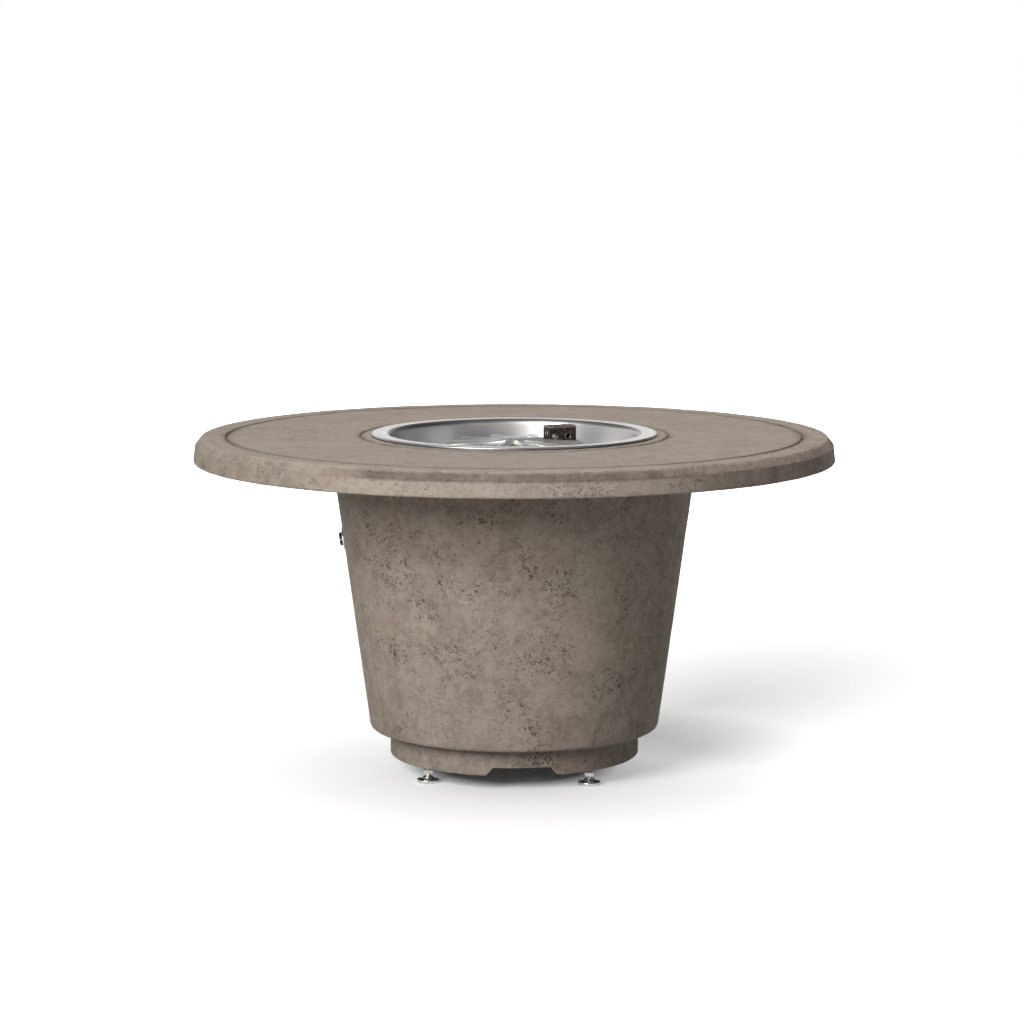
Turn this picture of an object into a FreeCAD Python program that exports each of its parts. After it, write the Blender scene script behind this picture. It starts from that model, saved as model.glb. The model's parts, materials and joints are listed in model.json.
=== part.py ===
import FreeCAD, Part
import math
import os

# Round cast-concrete gas fire pit table, in millimetres.
# The table's axis is the Z axis, the floor is z = 0, and the front of the table faces -Y.
# An azimuth is measured from +X, counter-clockwise seen from above.

os.makedirs("parts", exist_ok=True)

Vector = FreeCAD.Vector
UP = Vector(0, 0, 1)

# Clearances shared by the pieces
thread_play = 0.05
slide_play = 0.3
swing_gap = 4.0
cut_overshoot = 20.0

# Tabletop
table_height = 644.0
top_radius = 609.6
edge_depth = 46.0
edge_flare = 3.6
chamfer_width = 11.4
chamfer_height = 14.6
lower_edge_round = 3.0
top_skin = 20.0
rim_wall = 22.0
rim_draft = 4.0
opening_radius = 250.0
collar_width = 100.0
top_rib_count = 8
top_rib_width = 16.0
border_groove_radius = 546.5
border_groove_width = 5.0
border_groove_depth = 3.5
pan_groove_gap = 22.0
pan_groove_width = 4.0
pan_groove_depth = 3.0
groove_side_slope = 0.5

# Pedestal
drum_top_radius = 347.2
drum_foot_radius = 276.0
drum_foot_height = 52.7
plinth_radius = 238.3
floor_gap = 30.7
pedestal_wall = 20.0
pedestal_flange_width = 62.0
pedestal_flange_thickness = 20.0
haunch = 12.0
drum_edge_round = 2.5
plinth_edge_round = 2.0
vent_count = 2
vent_azimuth = 273.4
vent_bottom_width = 135.0
vent_top_width = 108.0
vent_height = 16.6

# Fixings between the pedestal and the tabletop
top_bolt_count = 6
top_bolt_azimuth = 30.0
top_bolt_diameter = 10.0
top_bolt_inset = 48.2
top_bolt_head_flats = 16.0
top_bolt_head_height = 6.4
top_washer_diameter = 24.0
top_washer_thickness = 2.0
top_insert_diameter = 15.0
top_insert_length = 26.0
insert_spare_depth = 4.0

# Levelling feet
foot_azimuths = {
    "front_left": 220.9,
    "front_right": 310.9,
    "back_right": 40.9,
    "back_left": 130.9,
}
foot_circle_radius = 215.0
foot_boss_diameter = 44.0
foot_boss_height = 56.0
foot_insert_diameter = 15.0
foot_insert_length = 30.0
foot_stud_diameter = 10.0
foot_stud_engagement = 38.0
foot_stud_retract = 8.0
foot_pad_diameter = 43.0
foot_pad_rim_height = 7.0
foot_pad_dome_height = 4.5
foot_pad_neck_diameter = 20.0
foot_pad_sole = 4.0
foot_pad_round = 1.2
foot_hex_flats = 17.0
foot_hex_height = 7.0
foot_hex_lift = 17.0

# Burner pan
pan_sheet = 1.5
pan_flange_radius = 271.0
pan_flange_lift = 5.0
pan_lip_round = 2.5
pan_bowl_radius = 236.0
pan_shoulder_radius = 10.0
pan_depth = 92.0
pan_floor_round = 15.0
pan_drain_count = 4
pan_drain_diameter = 8.0
pan_drain_circle_radius = 190.0
pan_lead_hole_diameter = 30.0

# Star burner
arm_count = 10
burner_sheet = 0.9
burner_drop = 5.5
hub_rise = 0.8
arm_tip_radius = 134.0
arm_fall = 6.2
arm_top_width = 8.0
arm_seam_width = 11.5
seam_flange_width = 1.3
seam_flange_sheet = 0.8
upper_half_height = 6.8
lower_half_height = 5.0
hub_radius = 28.0
hub_round = 3.0
large_port_radius = 57.0
large_port_diameter = 5.0
small_port_radii = (80.0, 103.0)
small_port_diameter = 3.0

# Burner inlet below the pan
nipple_diameter = 20.0
nipple_bore = 14.0
nipple_tail = 24.0
lock_nut_flats = 32.0
lock_nut_height = 8.0
mixer_diameter = 30.0
mixer_bore = 16.0
mixer_length = 58.0
mixer_slot_width = 8.0
mixer_slot_length = 24.0
mixer_slot_drop = 18.0
elbow_diameter = 22.0
elbow_drop = 14.0
elbow_reach = 28.0
elbow_bore = 8.0

# Gas line and tubes
gas_line_diameter = 12.0
gas_line_bend = 120.0
gas_line_straight = 45.0
pilot_tube_diameter = 4.0
pilot_tube_drop = 29.0
thermocouple_lead_diameter = 3.0
thermocouple_lead_drop = 37.0
igniter_lead_diameter = 4.0
igniter_lead_drop = 20.0
tube_bend = 16.0

# Control valve, in a recess of the drum's left side
knob_azimuth = 181.0
knob_drop = 199.0
knob_diameter = 27.0
knob_proud = 8.0
knob_edge_round = 3.0
knob_wall = 2.5
knob_boss_diameter = 12.0
knob_push_travel = 3.0
knob_nut_gap = 0.4
cup_flange_width = 3.0
cup_flange_thickness = 2.5
cup_depth = 12.0
cup_sheet = 1.5
cup_inner_diameter = 33.0
spot_face_depth = 0.9
valve_boss_diameter = 62.0
valve_boss_depth = 10.0
valve_neck_diameter = 20.0
valve_hole_play = 0.6
panel_nut_flats = 26.0
panel_nut_height = 3.0
backing_washer_diameter = 44.0
backing_washer_thickness = 3.0
valve_body_diameter = 36.0
valve_body_length = 58.0
valve_port_diameter = 16.0
valve_port_reach = 24.0
inlet_port_back = 12.0
valve_outlet_diameter = 18.0
valve_outlet_length = 8.0
valve_outlet_bore = 8.0
pilot_port_diameter = 9.0
pilot_port_back = 34.0
magnet_port_diameter = 11.0
magnet_port_back = 15.0
magnet_port_reach = 20.5
stem_diameter = 6.0
stem_collar_diameter = 11.0
stem_collar_height = 2.5
stem_tongue_length = 12.0
plug_small_diameter = 14.0
plug_large_diameter = 18.0
plug_length = 24.0
valve_end_wall = 4.0
valve_front_wall = 4.0
spring_wire = 1.0
spring_turns = 4
inlet_thread_diameter = 15.9
inlet_thread_length = 17.0
inlet_hex_flats = 19.0
inlet_hex_height = 8.0
inlet_bore = 8.0

# Spark igniter beside the valve
igniter_azimuth = 166.5
igniter_body_diameter = 22.0
igniter_body_length = 62.0
igniter_flange_diameter = 29.0
igniter_flange_thickness = 2.0
igniter_nut_flats = 30.0
igniter_nut_height = 5.0
igniter_boss_diameter = 40.0
igniter_boss_depth = 4.0
button_diameter = 14.0
button_proud = 4.5
button_travel = 3.0
button_length = 8.0
button_spring_length = 14.5
button_round = 1.5

# Pilot between two arms of the burner
pilot_x = 87.0
pilot_y = 33.0
pilot_turn = 28.0
shield_length = 57.0
shield_depth = 26.0
shield_height = 34.0
shield_sheet = 1.2
shield_base_drop = 19.0
shield_hole_diameter = 11.0
shield_hole_height = 14.0
shield_hole_spacing = 27.0
shield_hole_offset = 3.0
shield_end_hole_diameter = 8.0
shield_end_hole_height = 20.0
shield_foot_length = 12.0
shield_foot_height = 5.0
bracket_sheet = 1.5
bracket_leg_width = 16.0
bracket_foot_length = 12.0
pilot_screw_diameter = 4.0
pilot_screw_head_diameter = 7.0
pilot_screw_head_height = 2.4
pilot_hood_diameter = 11.0
pilot_hood_height = 20.0
pilot_hood_offset = 0.0
electrode_offset = -11.0
electrode_diameter = 7.0
electrode_height = 14.0
electrode_rod_diameter = 2.0
electrode_rod_height = 8.0
thermocouple_offset = 11.0
thermocouple_diameter = 6.0
thermocouple_height = 22.0

# Tank tray
tray_sheet = 2.0
tray_radius = 250.0
tray_well_radius = 172.0
tray_well_depth = 46.0
tray_round = 6.0
tray_centre_hole_diameter = 80.0
tray_hole_count = 6
tray_hole_diameter = 30.0
tray_hole_circle_radius = 110.0
tray_hose_hole_diameter = 34.0

# Access door at the back
door_azimuth = 90.0
door_half_angle = 35.0
door_foot_margin = 20.6
door_top_margin = 38.0
door_thickness = 12.0
door_rebate_ledge = 10.0
door_seat_gap = 1.0
hinge_leaf_sheet = 2.5
hinge_leaf_length = 32.0
hinge_height = 62.0
hinge_inset = 70.0
hinge_knuckle_diameter = 10.0
hinge_pin_diameter = 5.0
hinge_pin_head_diameter = 8.0
hinge_pin_head_height = 2.0
hinge_knuckle_play = 0.3
hinge_leaf_clearance = 1.0
hinge_screw_share = 0.6
knuckle_lift = 0.6
hinge_screw_diameter = 5.0
hinge_screw_head_diameter = 9.0
hinge_screw_head_height = 2.6
hinge_screw_length = 9.0
handle_centres = 128.0
handle_bar_diameter = 10.0
handle_post_diameter = 8.0
handle_reach = 28.0
handle_overhang = 14.0
handle_edge_distance = 26.0
handle_post_depth = 8.0
magnet_length = 46.0
magnet_depth = 14.0
magnet_reach = 22.0
strike_sheet = 1.5
strike_length = 40.0
strike_width = 18.0

# Heights and radii that follow from the sizes above
top_underside = table_height - edge_depth
skin_underside = table_height - top_skin
collar_radius = opening_radius + collar_width
drum_foot_z = floor_gap + drum_foot_height
taper = (drum_top_radius - drum_foot_radius) / (top_underside - drum_foot_z)
wall_lean = math.atan(taper)
shelf_top = drum_foot_z + pedestal_wall
flange_underside = top_underside - pedestal_flange_thickness
flange_inner_radius = drum_top_radius - pedestal_flange_width
knob_height = table_height - knob_drop
door_low = shelf_top + door_foot_margin
door_high = flange_underside - door_top_margin
top_bolt_circle_radius = drum_top_radius - top_bolt_inset
pan_floor_z = table_height - pan_depth
pan_under_z = pan_floor_z - pan_sheet
burner_top_z = table_height - burner_drop
seam_centre_z = burner_top_z - hub_rise - upper_half_height
hub_seam_z = seam_centre_z - arm_fall * (hub_radius + seam_flange_width) / arm_tip_radius
burner_seam_z = seam_centre_z - arm_fall
burner_bottom_z = hub_seam_z - lower_half_height - hub_rise
nipple_low_z = pan_under_z - nipple_tail
mixer_low_z = nipple_low_z - mixer_length
shield_base_z = table_height - shield_base_drop
knob_back = -cup_depth + panel_nut_height + knob_nut_gap + knob_push_travel


def drum_radius(height, depth=0.0):
    """Outer radius of the drum at a height, less a depth measured square to the wall."""
    return drum_foot_radius + taper * (height - drum_foot_z) - depth / math.cos(wall_lean)


def ring_face(points):
    """Closed face in the XZ plane through (radius, height) points."""
    corners = [Vector(radius, 0, height) for radius, height in points]
    return Part.Face(Part.makePolygon(corners + [corners[0]]))


def path_face(edges):
    """Closed face in the XZ plane from edges that follow one another."""
    return Part.Face(Part.Wire(edges))


def line(start, end):
    """Straight edge between two (radius, height) points."""
    return Part.makeLine(Vector(start[0], 0, start[1]), Vector(end[0], 0, end[1]))


def arc(centre, radius, start_angle, end_angle):
    """Arc in the XZ plane from one angle to the other, angles in degrees from +X towards +Z."""
    points = []
    for angle in (start_angle, (start_angle + end_angle) / 2, end_angle):
        turn = math.radians(angle)
        points.append(Vector(centre[0] + radius * math.cos(turn), 0, centre[1] + radius * math.sin(turn)))
    return Part.Arc(*points).toShape()


def spin(face, angle=360.0, start=0.0):
    """Solid of revolution of a face about the table's axis."""
    solid = face.revolve(Vector(0, 0, 0), UP, angle)
    solid.rotate(Vector(0, 0, 0), UP, start)
    return solid


def rod(diameter, low, high, x=0.0, y=0.0):
    """Upright round bar."""
    return Part.makeCylinder(diameter / 2, high - low, Vector(x, y, low))


def tube(outer, inner, low, high, x=0.0, y=0.0):
    """Upright round tube."""
    return rod(outer, low, high, x, y).cut(rod(inner, low - 1, high + 1, x, y))


def hexagon(flats, low, high, x=0.0, y=0.0):
    """Upright six-sided bar of a size across its flats."""
    reach = flats / math.sqrt(3)
    corners = []
    for step in range(7):
        turn = math.radians(60 * step)
        corners.append(Vector(x + reach * math.cos(turn), y + reach * math.sin(turn), low))
    return Part.Face(Part.makePolygon(corners)).extrude(Vector(0, 0, high - low))


def box(length, width, height, centre_x=0.0, centre_y=0.0, low=0.0):
    """Upright block centred on a point in plan."""
    corner = Vector(centre_x - length / 2, centre_y - width / 2, low)
    return Part.makeBox(length, width, height, corner)


def turned(shape, azimuth):
    """Copy of a shape turned about the table's axis."""
    copy = shape.copy()
    copy.rotate(Vector(0, 0, 0), UP, azimuth)
    return copy


def around(shape, count, first=0.0):
    """Evenly spaced copies of a shape about the table's axis."""
    return [turned(shape, first + 360.0 * step / count) for step in range(count)]


def moved(shape, x, y, z=0.0):
    """Copy of a shape moved in space."""
    copy = shape.copy()
    copy.translate(Vector(x, y, z))
    return copy


def fused(shapes):
    """One solid out of several that touch."""
    return shapes[0].multiFuse(shapes[1:]).removeSplitter()


def on_drum(shape, azimuth, height):
    """Copy of a shape built at the origin, set on the drum's outer face.

    Its Z axis becomes the outward normal, its Y axis runs up the wall and its X axis is level.
    """
    turn = math.radians(azimuth)
    out = Vector(math.cos(turn), math.sin(turn), 0)
    normal = out * math.cos(wall_lean) - UP * math.sin(wall_lean)
    slope = out * math.sin(wall_lean) + UP * math.cos(wall_lean)
    level = slope.cross(normal)
    place = out * drum_radius(height) + UP * height
    matrix = FreeCAD.Matrix(
        level.x, slope.x, normal.x, place.x,
        level.y, slope.y, normal.y, place.y,
        level.z, slope.z, normal.z, place.z,
        0, 0, 0, 1,
    )
    copy = shape.copy()
    copy.Placement = FreeCAD.Placement(matrix).multiply(copy.Placement)
    return copy


def drum_point(azimuth, height, local):
    """Point given in the axes of on_drum, as a point of the table."""
    return on_drum(Part.Vertex(local), azimuth, height).Vertexes[0].Point


def drum_band(inner_depth, outer_depth, low, high, start, sweep):
    """Piece of the drum's wall between two depths, two heights and two azimuths."""
    face = ring_face([
        (drum_radius(low, inner_depth), low),
        (drum_radius(low, outer_depth), low),
        (drum_radius(high, outer_depth), high),
        (drum_radius(high, inner_depth), high),
    ])
    return spin(face, sweep, start)


def bent_rod(points, diameter, bend):
    """Round bar along straight runs joined by arcs of one bend radius."""
    edges = []
    start = points[0]
    for before, corner, after in zip(points, points[1:], points[2:]):
        arrive = (corner - before).normalize()
        leave = (after - corner).normalize()
        turn = arrive.getAngle(leave)
        back = bend * math.tan(turn / 2)
        first = corner - arrive * back
        last = corner + leave * back
        inward = (leave - arrive).normalize()
        middle = corner + inward * (bend / math.cos(turn / 2) - bend)
        edges.append(Part.makeLine(start, first))
        edges.append(Part.Arc(first, middle, last).toShape())
        start = last
    edges.append(Part.makeLine(start, points[-1]))
    path = Part.Wire(edges)
    heading = (points[1] - points[0]).normalize()
    section = Part.Wire(Part.makeCircle(diameter / 2, points[0], heading))
    return path.makePipeShell([section], True, True)


def coil_spring(mean_diameter, wire, low, high, turns):
    """Open coil spring about the Z axis."""
    pitch = (high - low - wire) / turns
    path = Part.makeHelix(pitch, high - low - wire, mean_diameter / 2)
    path.translate(Vector(0, 0, low + wire / 2))
    section = Part.Wire(Part.makeCircle(wire / 2, Vector(mean_diameter / 2, 0, low + wire / 2), Vector(0, 1, 0)))
    return Part.Wire(path).makePipeShell([section], True, True)


# Cast pieces

def groove_points(radius, width, depth):
    """Outline of a round groove in the tabletop, from the inside out."""
    return [
        (radius - width / 2, table_height),
        (radius - width / 2 + groove_side_slope, table_height - depth),
        (radius + width / 2 - groove_side_slope, table_height - depth),
        (radius + width / 2, table_height),
    ]


def make_tabletop():
    chamfer_low_z = table_height - chamfer_height
    chamfer_low_radius = top_radius - edge_flare
    rim_inner_radius = top_radius - rim_wall
    outline = [(opening_radius, top_underside), (opening_radius, table_height)]
    outline += groove_points(pan_flange_radius + pan_groove_gap, pan_groove_width, pan_groove_depth)
    outline += groove_points(border_groove_radius, border_groove_width, border_groove_depth)
    outline += [
        (chamfer_low_radius - chamfer_width, table_height),
        (chamfer_low_radius, chamfer_low_z),
        (top_radius, top_underside + lower_edge_round),
        (top_radius - lower_edge_round, top_underside),
        (rim_inner_radius, top_underside),
        (rim_inner_radius - rim_draft, skin_underside),
        (collar_radius + rim_draft, skin_underside),
        (collar_radius, top_underside),
    ]
    disc = spin(ring_face(outline))
    rib_face = ring_face([
        (collar_radius - rim_draft, top_underside + lower_edge_round),
        (rim_inner_radius + rim_draft, top_underside + rim_draft + lower_edge_round),
        (rim_inner_radius + rim_draft, skin_underside + 1),
        (collar_radius - rim_draft, skin_underside + 1),
    ])
    rib_face.translate(Vector(0, -top_rib_width / 2, 0))
    rib = rib_face.extrude(Vector(0, top_rib_width, 0))
    top = fused([disc] + around(rib, top_rib_count))
    hole = rod(top_insert_diameter, top_underside - 1, top_underside + top_insert_length + insert_spare_depth,
               top_bolt_circle_radius)
    return top.cut(around(hole, top_bolt_count, top_bolt_azimuth))


def make_pedestal_shell():
    plinth_inner = plinth_radius - pedestal_wall
    edge_z = drum_foot_z + drum_edge_round
    edge_radius = drum_radius(edge_z)
    outline = [
        line((plinth_inner, floor_gap), (plinth_radius - plinth_edge_round, floor_gap)),
        arc((plinth_radius - plinth_edge_round, floor_gap + plinth_edge_round), plinth_edge_round, -90, 0),
        line((plinth_radius, floor_gap + plinth_edge_round), (plinth_radius, drum_foot_z)),
        line((plinth_radius, drum_foot_z), (edge_radius - drum_edge_round, drum_foot_z)),
        arc((edge_radius - drum_edge_round, edge_z), drum_edge_round, -90, 0),
        line((edge_radius, edge_z), (drum_top_radius, top_underside)),
        line((drum_top_radius, top_underside), (flange_inner_radius, top_underside)),
        line((flange_inner_radius, top_underside), (flange_inner_radius, flange_underside)),
        line((flange_inner_radius, flange_underside),
             (drum_radius(flange_underside, pedestal_wall) - haunch, flange_underside)),
        line((drum_radius(flange_underside, pedestal_wall) - haunch, flange_underside),
             (drum_radius(flange_underside - haunch, pedestal_wall), flange_underside - haunch)),
        line((drum_radius(flange_underside - haunch, pedestal_wall), flange_underside - haunch),
             (drum_radius(shelf_top, pedestal_wall), shelf_top)),
        line((drum_radius(shelf_top, pedestal_wall), shelf_top), (plinth_inner, shelf_top)),
        line((plinth_inner, shelf_top), (plinth_inner, floor_gap)),
    ]
    shell = spin(path_face(outline))
    boss = rod(foot_boss_diameter, floor_gap, floor_gap + foot_boss_height, foot_circle_radius)
    valve_boss = rod(valve_boss_diameter, -pedestal_wall - valve_boss_depth, -pedestal_wall / 2)
    igniter_boss = rod(igniter_boss_diameter, -pedestal_wall - igniter_boss_depth, -pedestal_wall / 2)
    added = [turned(boss, azimuth) for azimuth in foot_azimuths.values()]
    added.append(on_drum(valve_boss, knob_azimuth, knob_height))
    added.append(on_drum(igniter_boss, igniter_azimuth, knob_height))
    shell = fused([shell] + added)
    return shell.cut(pedestal_cuts())


def pedestal_cuts():
    """Everything taken out of the pedestal's casting."""
    insert_top = floor_gap + foot_insert_length
    stud_top = floor_gap + foot_stud_engagement + foot_stud_retract
    foot_hole = rod(foot_insert_diameter, floor_gap - 1, insert_top, foot_circle_radius)
    foot_hole = foot_hole.fuse(rod(foot_stud_diameter + 1, floor_gap, stud_top, foot_circle_radius))
    bolt_hole = rod(top_bolt_diameter + 1, flange_underside - 1, top_underside + 1, top_bolt_circle_radius)
    vent = Part.Face(Part.makePolygon([
        Vector(0, -vent_bottom_width / 2, floor_gap),
        Vector(0, vent_bottom_width / 2, floor_gap),
        Vector(0, vent_top_width / 2, floor_gap + vent_height),
        Vector(0, -vent_top_width / 2, floor_gap + vent_height),
        Vector(0, -vent_bottom_width / 2, floor_gap),
    ])).extrude(Vector(plinth_radius + cut_overshoot, 0, 0))
    vent.translate(Vector(0, 0, -0.001))
    cup_hole_diameter = cup_inner_diameter + 2 * cup_sheet
    cup_flange_diameter = cup_hole_diameter + 2 * cup_flange_width
    valve_hole = fused([
        rod(cup_flange_diameter + 2 * slide_play, -spot_face_depth, cut_overshoot),
        rod(cup_hole_diameter + 2 * slide_play, -cup_depth - cup_sheet, 0),
        rod(valve_neck_diameter + 2 * valve_hole_play, -pedestal_wall - valve_boss_depth - 5, 0),
    ])
    igniter_hole = fused([
        rod(igniter_flange_diameter + 2 * slide_play, -spot_face_depth, cut_overshoot),
        rod(igniter_body_diameter + 2 * slide_play, -pedestal_wall - igniter_boss_depth - 5, 0),
    ])
    cuts = [turned(foot_hole, azimuth) for azimuth in foot_azimuths.values()]
    cuts += around(bolt_hole, top_bolt_count, top_bolt_azimuth)
    cuts += around(vent, vent_count, vent_azimuth)
    cuts.append(on_drum(valve_hole, knob_azimuth, knob_height))
    cuts.append(on_drum(igniter_hole, igniter_azimuth, knob_height))
    cuts += door_cuts()
    cuts += hinge_screw_holes(-1)
    return cuts


def door_cuts():
    """The door's opening and the rebate that its edge lies in."""
    rebate_half = door_half_angle + surface_angle(swing_gap)
    opening_half = door_half_angle - surface_angle(door_rebate_ledge)
    rebate = drum_band(door_thickness + door_seat_gap, -cut_overshoot, door_low - swing_gap, door_high + swing_gap,
                       door_azimuth - rebate_half, 2 * rebate_half)
    opening = drum_band(pedestal_wall + cut_overshoot, 0, door_low + door_rebate_ledge, door_high - door_rebate_ledge,
                        door_azimuth - opening_half, 2 * opening_half)
    return [rebate, opening]


def make_tank_tray():
    low = shelf_top - tray_well_depth
    tray = spin(path_face([
        line((tray_radius, shelf_top), (tray_radius, shelf_top + tray_sheet)),
        line((tray_radius, shelf_top + tray_sheet), (tray_well_radius + tray_round, shelf_top + tray_sheet)),
        arc((tray_well_radius + tray_round, shelf_top + tray_sheet - tray_round), tray_round, 90, 180),
        line((tray_well_radius, shelf_top + tray_sheet - tray_round), (tray_well_radius, low + tray_round)),
        arc((tray_well_radius - tray_round, low + tray_round), tray_round, 0, -90),
        line((tray_well_radius - tray_round, low), (0, low)),
        line((0, low), (0, low - tray_sheet)),
        line((0, low - tray_sheet), (tray_well_radius - tray_round, low - tray_sheet)),
        arc((tray_well_radius - tray_round, low + tray_round), tray_round + tray_sheet, -90, 0),
        line((tray_well_radius + tray_sheet, low + tray_round),
             (tray_well_radius + tray_sheet, shelf_top + tray_sheet - tray_round)),
        arc((tray_well_radius + tray_round, shelf_top + tray_sheet - tray_round), tray_round - tray_sheet,
            180, 90),
        line((tray_well_radius + tray_round, shelf_top), (tray_radius, shelf_top)),
    ]))
    vent = rod(tray_hole_diameter, low - cut_overshoot, low + cut_overshoot, tray_hole_circle_radius)
    centre = rod(tray_centre_hole_diameter, low - cut_overshoot, low + cut_overshoot)
    hose_hole = rod(tray_hose_hole_diameter, low, shelf_top + cut_overshoot, drum_radius(shelf_top, -inlet_port_z()))
    return tray.cut([centre, turned(hose_hole, knob_azimuth)] + around(vent, tray_hole_count))


# Fixings of the tabletop

def make_top_fixings():
    washer_low = flange_underside - top_washer_thickness
    head_low = washer_low - top_bolt_head_height
    insert_high = top_underside + top_insert_length
    radius = top_bolt_circle_radius
    insert = tube(top_insert_diameter, top_bolt_diameter + 2 * thread_play, top_underside, insert_high, radius)
    washer = tube(top_washer_diameter, top_bolt_diameter + 2 * thread_play, washer_low, flange_underside, radius)
    bolt = hexagon(top_bolt_head_flats, head_low, washer_low, radius)
    bolt = bolt.fuse(rod(top_bolt_diameter, washer_low, insert_high, radius)).removeSplitter()
    nodes = {"tabletop_inserts": insert, "tabletop_washers": washer, "tabletop_bolts": bolt}
    return {name: Part.makeCompound(around(shape, top_bolt_count, top_bolt_azimuth))
            for name, shape in nodes.items()}


# Levelling feet

def make_foot_pad():
    rim = foot_pad_diameter / 2
    neck = foot_pad_neck_diameter / 2
    dome_top = foot_pad_rim_height + foot_pad_dome_height
    socket = foot_stud_diameter / 2 + thread_play
    return spin(path_face([
        line((0, 0), (rim - foot_pad_round, 0)),
        arc((rim - foot_pad_round, foot_pad_round), foot_pad_round, -90, 0),
        line((rim, foot_pad_round), (rim, foot_pad_rim_height - foot_pad_round)),
        arc((rim - foot_pad_round, foot_pad_rim_height - foot_pad_round), foot_pad_round, 0, 90),
        line((rim - foot_pad_round, foot_pad_rim_height), (neck, dome_top)),
        line((neck, dome_top), (socket, dome_top)),
        line((socket, dome_top), (socket, foot_pad_sole)),
        line((socket, foot_pad_sole), (0, foot_pad_sole)),
        line((0, foot_pad_sole), (0, 0)),
    ]))


def make_foot_stud():
    top = floor_gap + foot_stud_engagement
    stud = rod(foot_stud_diameter, foot_pad_sole, top)
    nut = hexagon(foot_hex_flats, foot_hex_lift, foot_hex_lift + foot_hex_height)
    return stud.fuse(nut).removeSplitter()


def make_feet():
    nodes = {}
    pad = moved(make_foot_pad(), foot_circle_radius, 0)
    stud = moved(make_foot_stud(), foot_circle_radius, 0)
    insert = tube(foot_insert_diameter, foot_stud_diameter + 2 * thread_play, floor_gap,
                  floor_gap + foot_insert_length, foot_circle_radius)
    for place, azimuth in foot_azimuths.items():
        nodes["foot_pad_" + place] = turned(pad, azimuth)
        nodes["foot_stud_" + place] = turned(stud, azimuth)
    nodes["foot_inserts"] = Part.makeCompound([turned(insert, azimuth) for azimuth in foot_azimuths.values()])
    return nodes


# Pan and burner

def make_burner_pan():
    top = table_height + pan_flange_lift
    bowl = pan_bowl_radius
    shoulder = (bowl + pan_shoulder_radius, top - pan_shoulder_radius)
    lip = (pan_flange_radius - pan_lip_round, top - pan_lip_round)
    corner = (bowl - pan_floor_round, pan_floor_z + pan_floor_round)
    lip_inner = pan_flange_radius - pan_sheet
    pan = spin(path_face([
        line((lip_inner, table_height), (pan_flange_radius, table_height)),
        line((pan_flange_radius, table_height), (pan_flange_radius, lip[1])),
        arc(lip, pan_lip_round, 0, 90),
        line((lip[0], top), (shoulder[0], top)),
        arc(shoulder, pan_shoulder_radius, 90, 180),
        line((bowl, shoulder[1]), (bowl, corner[1])),
        arc(corner, pan_floor_round, 0, -90),
        line((corner[0], pan_floor_z), (0, pan_floor_z)),
        line((0, pan_floor_z), (0, pan_under_z)),
        line((0, pan_under_z), (corner[0], pan_under_z)),
        arc(corner, pan_floor_round + pan_sheet, -90, 0),
        line((bowl + pan_sheet, corner[1]), (bowl + pan_sheet, shoulder[1])),
        arc(shoulder, pan_shoulder_radius - pan_sheet, 180, 90),
        line((shoulder[0], top - pan_sheet), (lip[0], top - pan_sheet)),
        arc(lip, pan_lip_round - pan_sheet, 90, 0),
        line((lip_inner, lip[1]), (lip_inner, table_height)),
    ]))
    low = pan_under_z - 5
    high = pan_floor_z + 5
    drain = rod(pan_drain_diameter, low, high, pan_drain_circle_radius)
    cuts = around(drain, pan_drain_count, 45)
    cuts.append(rod(nipple_diameter + 2 * slide_play, low, high))
    cuts.append(rod(pan_lead_hole_diameter, low, high, pilot_x, pilot_y))
    for x in bracket_foot_places():
        cuts.append(on_pilot(rod(pilot_screw_diameter + 2 * thread_play, low, high, x)))
    return pan.cut(cuts)


def flat_sided(near, far):
    """Solid between two four-cornered ends whose corners match."""
    sides = [Part.Face(Part.makePolygon([near[i], near[i - 1], far[i - 1], far[i], near[i]])) for i in range(4)]
    ends = [Part.Face(Part.makePolygon(end + [end[0]])) for end in (near, far)]
    return Part.makeSolid(Part.makeShell(sides + ends))


def arm_block(half_seam, half_far, base, height, start, tip_seam, tip_far):
    """One tapered arm along +X over the seam plane, which falls from the hub to the tips."""
    near = []
    far = []
    for y, z in ((-half_seam, base), (half_seam, base), (half_far, height), (-half_far, height)):
        near.append(Vector(start, y, z))
        far.append(Vector(tip_seam if z == base else tip_far, y, z))
    block = flat_sided(near, far)
    block.rotate(Vector(0, 0, 0), Vector(0, 1, 0), math.degrees(math.atan2(arm_fall, arm_tip_radius)))
    block.translate(Vector(0, 0, seam_centre_z))
    return block


def half_hub(radius, far_radius, seam_z, far_z, round_height):
    """Round middle of one half of the burner, its edge drawn in towards the far face."""
    return spin(ring_face([
        (0, seam_z), (radius, seam_z), (radius, far_z + round_height), (far_radius, far_z), (0, far_z),
    ]))


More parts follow.
